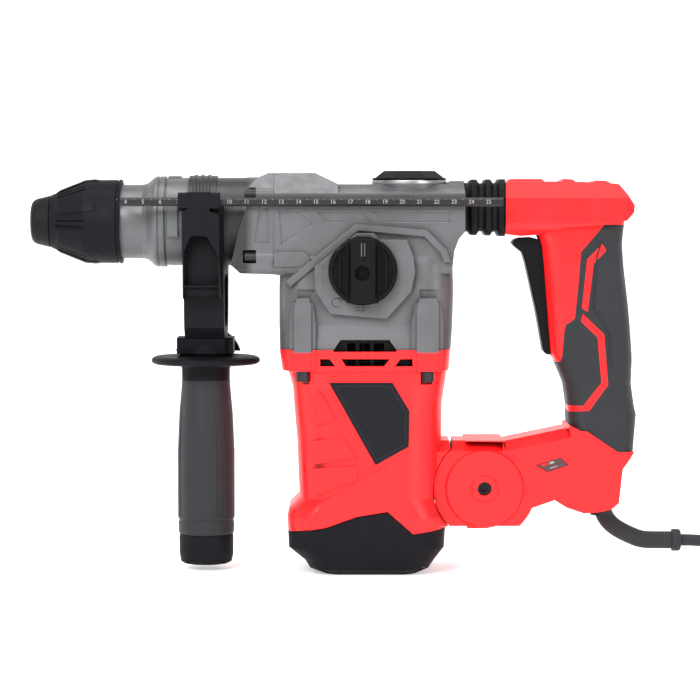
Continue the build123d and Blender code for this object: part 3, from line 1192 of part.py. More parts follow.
with BuildPart() as grip_core:
    upright(SIDE_X, 0, [(4.0 + RUN, -78.5), (15, -78.5), (16.2, -79.4), (29.5, -80.0),
                        (31.6, -80.9), (32.3, -82.2), (32.0, -83.6), (30.2, -84.6), (16, -85.2),
                        (14.6, -86.2), (14.3, -88), (14.2, -93.8), (10.0, -93.8),
                        (10.0, -186.2), (15.9, -186.2), (16.2, -188.0), (16.1, -198.0),
                        (15.2, -202.6), (13.4, -203.7), (4.0, -203.7), (3.6, -201),
                        (0, -201), (0, -98.5), (4.0 + RUN, -98.5)])
    # thin arcs raised on the guard and lobes under the end
    for turn in range(4):
        with Locations(Location((SIDE_X, 0, -203.9), (0, 0, 90 * turn + 45))):
            with Locations((14.6, 0, 0)):
                Cylinder(1.8, 4.0, mode=Mode.SUBTRACT)
save(grip_core, "grip_core")

with BuildPart() as grip_sleeve:
    upright(SIDE_X, 0, [(10.0, -93.9), (14.2, -93.9), (14.4, -94.6), (14.5, -98), (15.9, -113.3),
                        (17.0, -136.6), (17.0, -176.4), (16.3, -177.4), (16.3, -178.4),
                        (16.7, -179.2), (16.6, -184.6), (16.1, -185.9), (10.0, -185.9)])
    # sunk strips between the four long pads
    for turn in range(4):
        with BuildPart(mode=Mode.PRIVATE) as sunk:
            with BuildSketch(Plane.XZ):
                with BuildLine():
                    Polyline((15.2, -105), (16.6, -136.6), (16.6, -174.8), (19, -174.8),
                             (19, -105), close=True)
                make_face()
            revolve(axis=Axis.Z, revolution_arc=18)
        with Locations(Location((SIDE_X, 0, 0), (0, 0, 90 * turn + 114))):
            add(sunk.part, mode=Mode.SUBTRACT)
save(grip_sleeve, "grip_sleeve")

ROD_FRONT, ROD_BACK = 54.1, 275.6
with BuildPart() as depth_rod:
    axle(ROD_FRONT, ROD_BACK, ROD_R, ROD_Y, ROD_Z)
    # flat on the near side, notched every 10 mm
    block((ROD_FRONT - 1, ROD_BACK + 1), (ROD_Y - 4, ROD_Y - 2.1), (ROD_Z - 3, ROD_Z + 3),
          Mode.SUBTRACT)
    for step in range(22):
        x = 62 + 10 * step
        block((x - 0.3, x + 0.3), (ROD_Y - 3, ROD_Y - 1.9), (ROD_Z - 3, ROD_Z + 3), Mode.SUBTRACT)
save(depth_rod, "depth_rod")
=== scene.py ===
import json
import math

import bpy
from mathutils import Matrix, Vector


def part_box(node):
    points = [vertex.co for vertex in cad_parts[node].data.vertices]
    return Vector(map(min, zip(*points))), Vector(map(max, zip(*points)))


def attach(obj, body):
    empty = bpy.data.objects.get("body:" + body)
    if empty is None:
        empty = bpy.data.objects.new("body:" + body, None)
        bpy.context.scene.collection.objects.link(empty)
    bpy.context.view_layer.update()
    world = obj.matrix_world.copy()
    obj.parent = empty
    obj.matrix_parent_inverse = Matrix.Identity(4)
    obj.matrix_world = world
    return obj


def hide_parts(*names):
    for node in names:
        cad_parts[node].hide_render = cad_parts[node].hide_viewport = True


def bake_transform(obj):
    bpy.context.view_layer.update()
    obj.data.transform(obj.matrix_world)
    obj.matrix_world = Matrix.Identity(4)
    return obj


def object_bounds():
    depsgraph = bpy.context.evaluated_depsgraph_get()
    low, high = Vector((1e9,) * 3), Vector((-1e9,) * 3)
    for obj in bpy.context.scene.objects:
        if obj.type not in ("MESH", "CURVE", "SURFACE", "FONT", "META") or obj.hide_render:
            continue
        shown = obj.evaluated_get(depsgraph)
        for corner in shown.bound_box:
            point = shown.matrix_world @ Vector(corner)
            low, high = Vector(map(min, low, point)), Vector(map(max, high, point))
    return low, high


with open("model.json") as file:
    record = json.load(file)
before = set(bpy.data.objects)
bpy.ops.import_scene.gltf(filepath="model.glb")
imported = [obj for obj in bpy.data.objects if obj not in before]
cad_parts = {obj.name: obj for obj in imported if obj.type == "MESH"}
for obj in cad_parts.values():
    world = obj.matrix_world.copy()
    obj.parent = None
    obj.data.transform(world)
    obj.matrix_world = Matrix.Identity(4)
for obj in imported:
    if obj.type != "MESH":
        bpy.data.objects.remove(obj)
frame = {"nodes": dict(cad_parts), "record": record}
CAD_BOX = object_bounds()
MM = 0.001

# ---- Node helpers ---------------------------------------------------------------------------


class Graph:
    """A material's node tree with short calls for adding and joining nodes."""

    def __init__(self, name):
        self.material = bpy.data.materials.new(name)
        self.material.use_nodes = True
        self.tree = self.material.node_tree
        self.shader = self.tree.nodes["Principled BSDF"]
        self.coords = self.tree.nodes.new("ShaderNodeTexCoord").outputs["Object"]

    def link(self, source, target):
        self.tree.links.new(source, target)

    def add(self, kind, settings=(), **inputs):
        """A node of that kind; inputs are values or outputs of other nodes."""
        node = self.tree.nodes.new("ShaderNode" + kind)
        for key, value in dict(settings).items():
            setattr(node, key, value)
        for key, value in inputs.items():
            socket = node.inputs[int(key[1:])] if key[0] == "i" and key[1:].isdigit() \
                else node.inputs[key.replace("_", " ")]
            if isinstance(value, bpy.types.NodeSocket):
                self.link(value, socket)
            else:
                socket.default_value = value
        return node

    def noise(self, scale, detail=2.0, roughness=0.5, coords=None):
        node = self.add("TexNoise", Vector=coords or self.coords, Scale=scale, Detail=detail,
                        Roughness=roughness)
        return node.outputs["Fac"]

    def stretched(self, x, y, z):
        """The object's coordinates scaled along each axis."""
        return self.add("Mapping", Vector=self.coords, Scale=(x, y, z)).outputs["Vector"]

    def spread(self, value, low, high, to_low, to_high):
        """value from low..high to to_low..to_high, clamped."""
        node = self.add("MapRange", Value=value, From_Min=low, From_Max=high, To_Min=to_low,
                        To_Max=to_high)
        return node.outputs["Result"]

    def math(self, operation, a, b=0.0):
        return self.add("Math", {"operation": operation}, i0=a, i1=b).outputs[0]

    def mix(self, factor, first, second):
        """first where factor is 0 and second where it is 1, as colours."""
        node = self.add("Mix", {"data_type": "RGBA"}, i0=factor, i6=first, i7=second)
        return node.outputs[2]

    def axes(self):
        return self.add("SeparateXYZ", Vector=self.coords).outputs

    def rounded(self, radius):
        """The normal with edges rounded to radius, and how near an edge is, 0 to 1."""
        bevel = self.add("Bevel", {"samples": 4}, Radius=radius).outputs["Normal"]
        flat = self.add("NewGeometry").outputs["Normal"]
        match = self.add("VectorMath", {"operation": "DOT_PRODUCT"}, i0=bevel, i1=flat)
        return bevel, self.spread(match.outputs["Value"], 0.995, 0.82, 0.0, 1.0)

    def creases(self, reach):
        """Painted shade for corners and grooves: 0 deep in a corner or groove and 1 on an open
        surface.
        """
        shelter = self.add("AmbientOcclusion", {"samples": 6}, Distance=reach)
        return self.spread(shelter.outputs["AO"], 0.3, 0.9, 0.0, 1.0)

    def bump(self, height, distance, strength=1.0, normal=None):
        node = self.add("Bump", Height=height, Distance=distance, Strength=strength)
        if normal is not None:
            self.link(normal, node.inputs["Normal"])
        return node.outputs["Normal"]

    def set(self, **values):
        """Sockets of the shader, as values or outputs."""
        for key, value in values.items():
            socket = self.shader.inputs[key.replace("_", " ")]
            if isinstance(value, bpy.types.NodeSocket):
                self.link(value, socket)
            else:
                socket.default_value = value


def shade(colour, factor):
    return (colour[0] * factor, colour[1] * factor, colour[2] * factor, 1.0)


def moulded(name, colour, rough, grain, depth, edge=0.6 * MM, worn=1.5, coat=0.0, sheen=0.0,
            gloss=0.22, inlay=None):
    """Moulded plastic or rubber: a spark-eroded grain, uneven gloss, edges rubbed lighter.
    An inlay is another colour behind x and between two heights z."""
    g = Graph(name)
    normal, near_edge = g.rounded(edge)
    cloud = g.noise(28, 4.0, 0.6)
    tone = g.mix(g.spread(cloud, 0.35, 0.65, 0.0, 1.0), shade(colour, 0.93), shade(colour, 1.05))
    if inlay:
        behind, low_z, high_z, other = inlay
        x, _, z = g.axes()
        inside = g.math("MULTIPLY", g.math("GREATER_THAN", x, behind),
                        g.math("MULTIPLY", g.math("GREATER_THAN", z, low_z),
                               g.math("LESS_THAN", z, high_z)))
        tone = g.mix(inside, tone, shade(other, 1.0))
    # painted shade: the colour darkens to 0.3 of itself deep in corners and grooves
    tone = g.mix(g.creases(5 * MM), shade(colour, 0.3), tone)
    scuff = g.math("MULTIPLY", near_edge, g.spread(g.noise(160, 3.0), 0.4, 0.62, 0.0, 0.55))
    g.set(Base_Color=g.mix(scuff, tone, shade(colour, worn)))
    g.set(Roughness=g.spread(g.noise(95, 3.0), 0.3, 0.7, rough - 0.06, rough + 0.07))
    g.set(Normal=g.bump(g.noise(grain, 2.0), depth, 1.0, normal), Coat_Weight=coat)
    g.set(Coat_Roughness=0.25, Sheen_Weight=sheen, Sheen_Roughness=0.5)
    g.set(Specular_IOR_Level=gloss)
    return g.material


def cast_metal(name, colour, rough, metallic=0.35, painted_shade_from=None, painted_shade_to=None):
    """Sand-grained painted casting with soft dents of tone, painted shade in corners and grooves, and
    edges lighter from wear and painted highlight; it may have a band of painted shade between two
    places along the tool."""
    g = Graph(name)
    normal, near_edge = g.rounded(0.8 * MM)
    cloud = g.noise(36, 4.0, 0.6)
    tone = g.mix(g.spread(cloud, 0.35, 0.65, 0.0, 1.0), shade(colour, 0.9), shade(colour, 1.08))
    speck = g.spread(g.noise(2600, 2.0), 0.60, 0.72, 0.0, 0.25)
    tone = g.mix(speck, tone, shade(colour, 1.7))
    # painted shade: the colour darkens to 0.4 of itself deep in corners and grooves
    tone = g.mix(g.creases(6 * MM), shade(colour, 0.4), tone)
    # painted shade: between the two places along x the colour darkens to 0.22 of itself
    if painted_shade_from:
        along = g.axes()["X"]
        band = g.math("MULTIPLY", g.spread(along, painted_shade_from, painted_shade_from + 6 * MM, 0.0, 1.0),
                      g.spread(along, painted_shade_to, painted_shade_to + 5 * MM, 1.0, 0.0))
        tone = g.mix(band, tone, shade(colour, 0.22))
    # edges lighter, partly wear and partly painted highlight
    bright = g.math("MULTIPLY", near_edge, g.spread(g.noise(220, 3.0), 0.35, 0.6, 0.15, 0.7))
    g.set(Base_Color=g.mix(bright, tone, shade(colour, 1.75)), Metallic=metallic)
    g.set(Roughness=g.spread(g.noise(180, 3.0), 0.3, 0.7, rough - 0.07, rough + 0.08))
    sand = g.bump(g.noise(1500, 3.0, 0.6), 0.05 * MM, 0.8, normal)
    g.set(Normal=g.bump(cloud, 0.3 * MM, 0.4, sand))
    return g.material


def machined(name, colour, rough, around="X", metallic=1.0):
    """Turned or ground steel: fine lines round an axis, a few scratches, oily patches."""
    g = Graph(name)
    normal, near_edge = g.rounded(0.35 * MM)
    scale = {"X": (4200, 60, 60), "Y": (60, 4200, 60), "Z": (60, 60, 4200)}[around]
    lines = g.noise(1.0, 3.0, 0.6, g.stretched(*scale))
    patch = g.noise(55, 3.0)
    tone = g.mix(g.spread(patch, 0.35, 0.65, 0.0, 1.0), shade(colour, 0.82), shade(colour, 1.06))
    g.set(Base_Color=g.mix(g.math("MULTIPLY", near_edge, 0.5), tone, shade(colour, 1.3)))
    g.set(Metallic=metallic, Roughness=g.spread(lines, 0.3, 0.7, rough - 0.08, rough + 0.1))
    g.set(Normal=g.bump(lines, 0.012 * MM, 0.6, normal))
    return g.material


def laminated(name, colour):
    """A stack of thin iron sheets seen from the side."""
    g = Graph(name)
    normal, near_edge = g.rounded(0.3 * MM)
    height = g.math("MULTIPLY", g.axes()["Z"], 2 * math.pi / (0.5 * MM))
    sheets = g.math("SINE", height)
    tone = g.mix(g.spread(sheets, -1.0, 0.2, 0.0, 1.0), shade(colour, 0.45), shade(colour, 1.0))
    g.set(Base_Color=g.mix(near_edge, tone, shade(colour, 1.5)), Metallic=0.8)
    g.set(Roughness=g.spread(g.noise(120), 0.3, 0.7, 0.42, 0.6))
    g.set(Normal=g.bump(sheets, 0.04 * MM, 0.6, normal))
    return g.material


def wound(name, colour):
    """Enamelled wire laid side by side."""
    g = Graph(name)
    slant = g.add("Mapping", Vector=g.coords, Rotation=(0.2, 0.35, 0.1)).outputs["Vector"]
    wave = g.add("TexWave", {"bands_direction": "Z"}, Vector=slant, Scale=420.0,
                 Distortion=0.6, Detail=1.0, Detail_Scale=2.0).outputs["Fac"]
    tone = g.mix(wave, shade(colour, 0.4), shade(colour, 1.1))
    g.set(Base_Color=tone, Metallic=0.75, Coat_Weight=0.5, Coat_Roughness=0.2)
    g.set(Roughness=g.spread(g.noise(300), 0.3, 0.7, 0.3, 0.45))
    g.set(Normal=g.bump(wave, 0.15 * MM, 1.0))
    return g.material


RED = (1.0, 0.012, 0.014)
GREY = (0.098, 0.097, 0.103)
DARK = (0.0055, 0.0055, 0.0075)
RUBBER = (0.016, 0.0175, 0.020)
BLACK = (0.0035, 0.0037, 0.0042)

looks = {
    "cast_housing": cast_metal("cast_grey", GREY, 0.42),
    "red_shell": moulded("red_nylon", RED, 0.33, 1900, 0.02 * MM, worn=1.12, gloss=0.3),
    "dark_shell": moulded("dark_nylon", DARK, 0.55, 1700, 0.04 * MM, worn=2.6, gloss=0.09),
    "soft_rubber": moulded("soft_rubber", RUBBER, 0.56, 1300, 0.05 * MM, worn=1.8, sheen=0.05),
    "black_plastic": moulded("black_nylon", BLACK, 0.42, 2100, 0.02 * MM, worn=2.6, gloss=0.1),
    "steel": machined("ground_steel", (0.56, 0.56, 0.58), 0.3),
    "hard_steel": machined("oiled_steel", (0.20, 0.20, 0.21), 0.36),
    "bright_steel": machined("bright_ring", (0.46, 0.46, 0.48), 0.34, "Z"),
    "black_steel": machined("blackened_steel", (0.018, 0.018, 0.020), 0.4, metallic=0.5),
    "iron_stack": laminated("laminations", (0.25, 0.25, 0.26)),
    "copper": wound("enamelled_wire", (0.75, 0.30, 0.12)),
    "brass": machined("brass_pressing", (0.78, 0.58, 0.25), 0.3, "Y"),
    "carbon": moulded("pressed_carbon", (0.03, 0.03, 0.032), 0.5, 2600, 0.03 * MM),
    "lens": moulded("smoked_lens", (0.05, 0.010, 0.012), 0.12, 400, 0.005 * MM, coat=0.8),
    "badge": moulded("badge_plate", (0.0035, 0.0045, 0.0065), 0.34, 1200, 0.01 * MM,
                     edge=0.15 * MM, worn=1.2, gloss=0.18),
}
# finishes of the small pieces that only this script makes, with painted highlights and glints among
# them
prints = {
    "white_print_and_glint": moulded("white_print_and_glint", (0.30, 0.30, 0.30), 0.5, 900, 0.004 * MM, worn=1.0),
    "grey_print": moulded("grey_print", (0.085, 0.085, 0.09), 0.5, 900, 0.004 * MM, worn=1.0),
    "badge_line": moulded("badge_line", (0.016, 0.017, 0.020), 0.4, 900, 0.004 * MM, worn=1.0),
    "soft_white": moulded("pale_line", (0.085, 0.088, 0.09), 0.4, 900, 0.004 * MM, worn=1.0),
    "pad_grain": moulded("etched_pad", (0.118, 0.130, 0.126), 0.62, 1100, 0.12 * MM, worn=1.3),
    "red_glint": moulded("red_glint", (0.62, 0.012, 0.014), 0.3, 900, 0.004 * MM, worn=1.0),
    "panel_highlight_cast": cast_metal("panel_highlight_cast", (0.19, 0.189, 0.2), 0.36),
}

# the shells show only in the thumb notches of the rubber there, where they are dark
THUMB_NOTCHES = (345 * MM, -92 * MM, -62 * MM, RUBBER)
# the neck behind the side handle's collar is darkened with painted shade between these two places
NECK_SHADE_FROM, NECK_SHADE_TO = 103 * MM, 126 * MM
front_cast_shaded = cast_metal("front_cast_shaded", GREY, 0.42, painted_shade_from=NECK_SHADE_FROM, painted_shade_to=NECK_SHADE_TO)
grip_red = moulded("grip_red", RED, 0.33, 1900, 0.02 * MM, worn=1.12, gloss=0.3,
                   inlay=THUMB_NOTCHES)
nose_rubber = moulded("nose_rubber", BLACK, 0.55, 1500, 0.04 * MM, worn=3.0, gloss=0.15)


def paint(thing, material):
    thing.data.materials.clear()
    thing.data.materials.append(material)


slot_of = {s["node"]: s["material_slot"] for s in frame["record"]["subparts"]}
# the pivot pin's blackened steel is painted shade, so that its hole reads dark
own_look = {"dust_cap": nose_rubber, "bellows": nose_rubber, "pivot_pin": looks["black_steel"],
            "front_housing": front_cast_shaded, "handle_shell_near": grip_red,
            "handle_shell_far": grip_red}
for name, node in frame["nodes"].items():
    paint(node, own_look.get(name, looks[slot_of[name]]))

# ---- New pieces -------------------------------------------------------------------------------


def piece(name, body, material, vertices, faces, smooth=True):
    """A mesh of its own that rides on a body."""
    mesh = bpy.data.meshes.new(name)
    mesh.from_pydata([tuple(v) for v in vertices], [], faces)
    mesh.validate()
    thing = bpy.data.objects.new(name, mesh)
    bpy.context.scene.collection.objects.link(thing)
    for face in mesh.polygons:
        face.use_smooth = smooth
    paint(thing, material)
    if body:
        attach(thing, body)
    return thing


# ---- Markings and small fittings ------------------------------------------------------------

def flat_shape(name, body, material, outlines, place):
    """Thin raised shapes; outlines lie in a plane and place turns (u, v, height) into a point."""
    vertices, faces = [], []
    for outline, height in outlines:
        start, count = len(vertices), len(outline)
        vertices += [place(u, v, 0.0) for u, v in outline]
        vertices += [place(u, v, height) for u, v in outline]
        faces.append(list(range(start + count, start + 2 * count)))
        faces.append(list(range(start + count - 1, start - 1, -1)))
        for k in range(count):
            n = (k + 1) % count
            faces.append([start + k, start + n, start + count + n, start + count + k])
    return piece(name, body, material, vertices, faces, smooth=False)


def near_face(y):
    """Places on a face that looks towards -Y, raised towards the viewer."""
    return lambda u, v, height: (u * MM, (y - height) * MM, v * MM)


def far_face(y):
    """Places on a face that looks towards +Y, raised away from it."""
    return lambda u, v, height: (u * MM, (y + height) * MM, v * MM)


def stroke(points, width):
    """Quadrilaterals that follow a polyline, as outlines."""
    quads = []
    for (x0, z0), (x1, z1) in zip(points, points[1:]):
        length = math.hypot(x1 - x0, z1 - z0)
        dx, dz = (x1 - x0) / length, (z1 - z0) / length
        nx, nz = -dz * width / 2, dx * width / 2
        x0, z0, x1, z1 = (x0 - dx * width / 4, z0 - dz * width / 4,
                          x1 + dx * width / 4, z1 + dz * width / 4)
        quads.append([(x0 + nx, z0 + nz), (x0 - nx, z0 - nz), (x1 - nx, z1 - nz),
                      (x1 + nx, z1 + nz)])
    return quads


def arc(x, z, radius, start, end, steps=14):
    return [(x + radius * math.cos(math.radians(start + (end - start) * k / steps)),
             z + radius * math.sin(math.radians(start + (end - start) * k / steps)))
            for k in range(steps + 1)]


def text_mesh(text, size):
    """Vertices and faces of a line of text, centred, in the plane (u, v)."""
    curve = bpy.data.curves.new("numeral", "FONT")
    curve.body, curve.size = text, size
    curve.align_x, curve.align_y = "CENTER", "CENTER"
    curve.resolution_u = 2
    holder = bpy.data.objects.new("numeral", curve)
    mesh = bpy.data.meshes.new_from_object(holder)
    points = [(v.co.x, v.co.y) for v in mesh.vertices]
    polygons = [list(p.vertices) for p in mesh.polygons]
    bpy.data.meshes.remove(mesh)
    bpy.data.objects.remove(holder)
    bpy.data.curves.remove(curve)
    return points, polygons


FIRST_NUMBER, LAST_NUMBER = 4, 25
FIRST_NUMBER_X, NUMBER_PITCH, NUMBER_SIZE = 57.1, 10.0, 3.3
ROD_FLAT_Y, INK = -40.1, 0.03
TICK_TOP, TICK_HALF, SHORT_TICK, LONG_TICK = 1.75, 0.1, 0.45, 0.75


def rod_scale():
    """Pale centimetre numbers and ticks printed on the depth rod's flat."""
    low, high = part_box("depth_rod")
    face = (ROD_FLAT_Y - INK) * MM
    middle = (low.z + high.z) / 2
    top = middle + TICK_TOP * MM
    vertices, faces = [], []
    for number in range(FIRST_NUMBER, LAST_NUMBER + 1):
        centre = (FIRST_NUMBER_X + NUMBER_PITCH * (number - FIRST_NUMBER)) * MM
        points, polygons = text_mesh(str(number), NUMBER_SIZE * MM)
        start = len(vertices)
        vertices += [(centre + u, face, middle + v) for u, v in points]
        faces += [[start + k for k in polygon] for polygon in polygons]
        for step, reach in ((-NUMBER_PITCH / 2, LONG_TICK), (0.0, SHORT_TICK)):
            x, half = centre + step * MM, TICK_HALF * MM
            start = len(vertices)
            bottom = top - reach * MM
            vertices += [(x - half, face, top), (x - half, face, bottom),
                         (x + half, face, bottom), (x + half, face, top)]
            faces.append([start, start + 1, start + 2, start + 3])
    return piece("rod_scale", "depth_stop", prints["white_print_and_glint"], vertices, faces, smooth=False)


rod_scale()

# lines down the knob's grip bar
KNOB_X, KNOB_Z, BEZEL_Y = 194.4, -28.3, -40.0
KNOB_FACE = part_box("mode_knob")[0].y / MM
LINE_HALF, LINE_FROM, LINE_TO = 0.35, 8.6, 16.2
knob_lines = [[(x - LINE_HALF, KNOB_Z + LINE_FROM), (x + LINE_HALF, KNOB_Z + LINE_FROM),
               (x + LINE_HALF, KNOB_Z + LINE_TO), (x - LINE_HALF, KNOB_Z + LINE_TO)]
              for x in (KNOB_X - 0.9, KNOB_X + 0.9)]
flat_shape("knob_lines", "mode_selector", prints["soft_white"],
           [(outline, 0.12) for outline in knob_lines], near_face(KNOB_FACE))

# signs for the modes on the bezel round the knob: a bit, a turning arrow, ticks
# across from the knob's axis and up
SIGNS = ([(-26.6, -23.6), (-21.9, -25.8)],
         [(-26.2, -26.8), (-23.2, -26.8), (-23.2, -35.4)],
         [(-26.6, -30.4), (-24.6, -28.8)],
         [(-26.6, -32.8), (-24.6, -31.2)],
         arc(-15.4, -46.6, 2.6, 40, 320),
         [(-13.4, -46.8), (-12.0, -44.6), (-14.8, -44.4)],
         [(-4.0, -49.6), (4.0, -49.6)],
         [(-4.0, -51.4), (1.4, -51.4)],
         [(0.2, -48.4), (0.2, -52.8)])
SIGN_WIDTH, TICK_WIDTH = 0.5, 0.45
signs = []
for line in SIGNS:
    signs += stroke([(KNOB_X + x, z) for x, z in line], SIGN_WIDTH)
for shift in (-3.4, 0.0, 3.4):
    signs += stroke([(KNOB_X + shift - 0.8, -7.6), (KNOB_X + shift, -8.6),
                     (KNOB_X + shift + 0.8, -7.6)], TICK_WIDTH)
flat_shape("mode_signs", "tool_body", prints["grey_print"],
           [(outline, 0.08) for outline in signs], near_face(BEZEL_Y))

# blank badge: a fine rim line inside its edge
BADGE_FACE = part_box("badge_plate")[0].y / MM
BADGE = [(174.8, -93.4), (211.6, -93.4), (221.4, -109.8), (221.0, -130.6), (201.8, -141.4)]


def inset(outline, distance):
    """The outline moved inwards; its corners run clockwise seen from -Y."""
    moved = []
    count = len(outline)
    for k in range(count):
        (ax, az), (bx, bz), (cx, cz) = outline[k - 1], outline[k], outline[(k + 1) % count]
        d1 = Vector((bx - ax, bz - az)).normalized()
        d2 = Vector((cx - bx, cz - bz)).normalized()
        n1, n2 = Vector((d1.y, -d1.x)), Vector((d2.y, -d2.x))
        bisector = (n1 + n2).normalized()
        reach = distance / max(0.3, bisector.dot(n1))
        moved.append((bx + bisector.x * reach, bz + bisector.y * reach))
    return moved


RIM_INSET, RIM_WIDTH = 2.0, 0.45
rim = inset(BADGE, RIM_INSET)
flat_shape("badge_rim", "tool_body", prints["badge_line"],
           [(quad, 0.1) for quad in stroke(rim + rim[:1], RIM_WIDTH)], near_face(BADGE_FACE))

# moulded contour lines on the sides of the rear grip
GRIP_HALF, CONTOUR_WIDTH, CONTOUR_HEIGHT = 18.0, 0.8, 0.4
CONTOURS = [(334.6, -12.0), (332.0, -20.1), (330.2, -50.5), (339.8, -66.0), (340.4, -86.0)]
for side, face_of in (("near", near_face(-GRIP_HALF)), ("far", far_face(GRIP_HALF))):
    flat_shape("grip_lines_" + side, "rear_handle", looks["soft_rubber"],
               [(quad, CONTOUR_HEIGHT) for quad in stroke(CONTOURS, CONTOUR_WIDTH)], face_of)

# painted reflections on the indicator window: a red bar and two pale glints
LENS_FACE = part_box("indicator_lens")[0].y / MM
for name, material, outline in (
        ("lens_red", "red_glint", [(298.9, -142.9), (303.0, -141.6), (304.2, -142.7),
                                   (300.4, -143.9)]),
        ("lens_glint", "white_print_and_glint", [(303.9, -141.5), (306.6, -140.7), (307.6, -141.7),
                                       (305.0, -142.6)]),
        ("lens_bar", "white_print_and_glint", [(304.4, -144.8), (308.8, -143.5), (309.1, -143.9),
                                     (304.8, -145.2)])):
    flat_shape(name, "rear_handle", prints[material], [(outline, 0.06)],
               near_face(LENS_FACE))

# fine raised outlines round the sunk panels of the housings, lighter than the casting as painted
# highlight, and the etched pad on the collar
SIDE_Y, COLLAR_PAD_Y = -33.0, -26.5
PANEL_LINE_WIDTH, PANEL_LINE_HEIGHT = 0.34, 0.16
PANELS = ([(145.4, 6.2), (157.6, 6.6), (166.0, -0.9), (146.6, -13.6)],
          [(166.8, 6.2), (193.6, 6.2), (200.6, -0.2), (172.6, -0.2)],
          [(198.4, 6.4), (245.4, 6.2), (245.4, -0.4), (205.8, -0.4)],
          [(134.2, 7.6), (139.6, 9.0), (139.6, -12.8), (130.8, -12.2)])
for side, face_of in (("near", near_face(SIDE_Y)), ("far", far_face(-SIDE_Y))):
    outlines = []
    for panel in PANELS:
        outlines += [(quad, PANEL_LINE_HEIGHT)
                     for quad in stroke(panel + panel[:1], PANEL_LINE_WIDTH)]
    flat_shape("panel_lines_" + side, "tool_body", prints["panel_highlight_cast"], outlines, face_of)
flat_shape("collar_pad", "tool_body", prints["pad_grain"],
           [([(80.1, -8.6), (86.1, -8.6), (86.1, 11.0), (80.1, 11.0)], 0.1)], near_face(COLLAR_PAD_Y))

# ---- Soft and springy pieces that cross a joint ------------------------------------------------

# rings across the bellows: x, half width, lowest and highest z
FOLDS = ((254.1, 18.6, -6.2, 23.0), (256.2, 18.6, -5.6, 22.6), (258.6, 20.4, -8.0, 24.8),
         (261.0, 20.4, -8.0, 24.8), (263.0, 18.4, -5.8, 22.6), (265.0, 18.4, -5.8, 22.6),
         (267.0, 20.4, -8.2, 24.9), (269.2, 20.4, -8.2, 24.9), (271.1, 18.4, -6.0, 22.8),
         (272.9, 18.4, -6.0, 22.8), (274.8, 20.4, -8.6, 25.0), (278.0, 20.4, -8.6, 25.0))
FOLD_CORNER, FOLD_WALL = 7.0, 1.4
FOLD_STEPS = 4  # rings from one row of the table to the next


def ease(t):
    """0 to 1 with a soft start and end."""
    t = min(1.0, max(0.0, t))
    return t * t * (3 - 2 * t)


def fold_ring(x, half, z0, z1, wall):
    """A rounded rectangle across the bellows, drawn in by the wall's thickness."""
    corner = FOLD_CORNER - wall
    ring = []
    for turn, (y, z) in enumerate(((half, z1), (-half, z1), (-half, z0), (half, z0))):
        y -= math.copysign(FOLD_CORNER, y)
        z += FOLD_CORNER if turn > 1 else -FOLD_CORNER
        for step in range(7):
            angle = math.radians(90 * turn + 15 * step)
            ring.append((x * MM, (y + corner * math.cos(angle)) * MM,
                         (z + corner * math.sin(angle)) * MM))
    return ring


def bellows_sleeve():
    """The bellows as one soft skin with rounded folds, outside and inside."""
    rings = []
    for before, after in zip(FOLDS, FOLDS[1:]):
        for step in range(FOLD_STEPS):
            share = ease(step / FOLD_STEPS)
            x = before[0] + (after[0] - before[0]) * step / FOLD_STEPS
            rings.append([x] + [a + (b - a) * share for a, b in zip(before[1:], after[1:])])
    rings.append(list(FOLDS[-1]))
    outside = [fold_ring(*ring, 0.0) for ring in rings]
    inside = [fold_ring(*ring, FOLD_WALL) for ring in reversed(rings)]
    loops = outside + inside
    vertices = [point for loop in loops for point in loop]
    count = len(outside[0])
    faces = []
    for k in range(len(loops)):
        n = (k + 1) % len(loops)
        for j in range(count):
            m = (j + 1) % count
            faces.append([k * count + j, k * count + m, n * count + m, n * count + j])
    return piece("bellows_sleeve", None, nose_rubber, vertices, faces)


def stand_for(node):
    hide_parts(node)


def twin(name, node):
    """A piece with the same mesh as a CAD node, which it stands for."""
    thing = bpy.data.objects.new(name, frame["nodes"][node].data.copy())
    bpy.context.scene.collection.objects.link(thing)
    paint(thing, looks[slot_of[node]])
    stand_for(node)
    return thing


sleeve = bellows_sleeve()
stand_for("bellows")
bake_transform(sleeve)
coil_spring = twin("handle_spring", "vibration_spring")
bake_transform(coil_spring)
chuck_coil = twin("sleeve_spring", "chuck_spring")
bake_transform(chuck_coil)

# ---- Supply cord --------------------------------------------------------------------------------

CORD_R = 3.5 * MM
FLOOR = CAD_BOX[0].z
LIE = FLOOR + CORD_R
LEAD = [(0.3846, 0, -0.1903), (0.406, 0, -0.1903), (0.432, -0.007, -0.199),
        (0.452, -0.022, LIE), (0.467, -0.037, LIE)]
COIL_X, COIL_Y = 0.5041, 0.0001
ENTRY = -135.0  # degrees, where the cord joins the coil
TURN_STEPS = 30
SHIFT_FROM, SHIFT_TO = 215.0, 345.0  # degrees of each turn in which the cord moves a row over
STEP_IN, STEP_UP = 7.05 * MM, 6.1 * MM
OUTER_RADIUS, LAST_RADIUS = 52.5 * MM, 45.5 * MM
FLOOR_TURNS, UPPER_TURNS = 4, 3
HUMP = 1.4 * MM  # how much higher the upper turns pass where they move a row over
LEAVE = 60.0  # degrees of the eighth turn at which the cord leaves the coil


def coil_place(radius, angle, lift):
    """A place on the coil, at an angle from where the cord joins it."""
    heading = math.radians(angle + ENTRY)
    return (COIL_X + radius * math.cos(heading), COIL_Y + radius * math.sin(heading), LIE + lift)


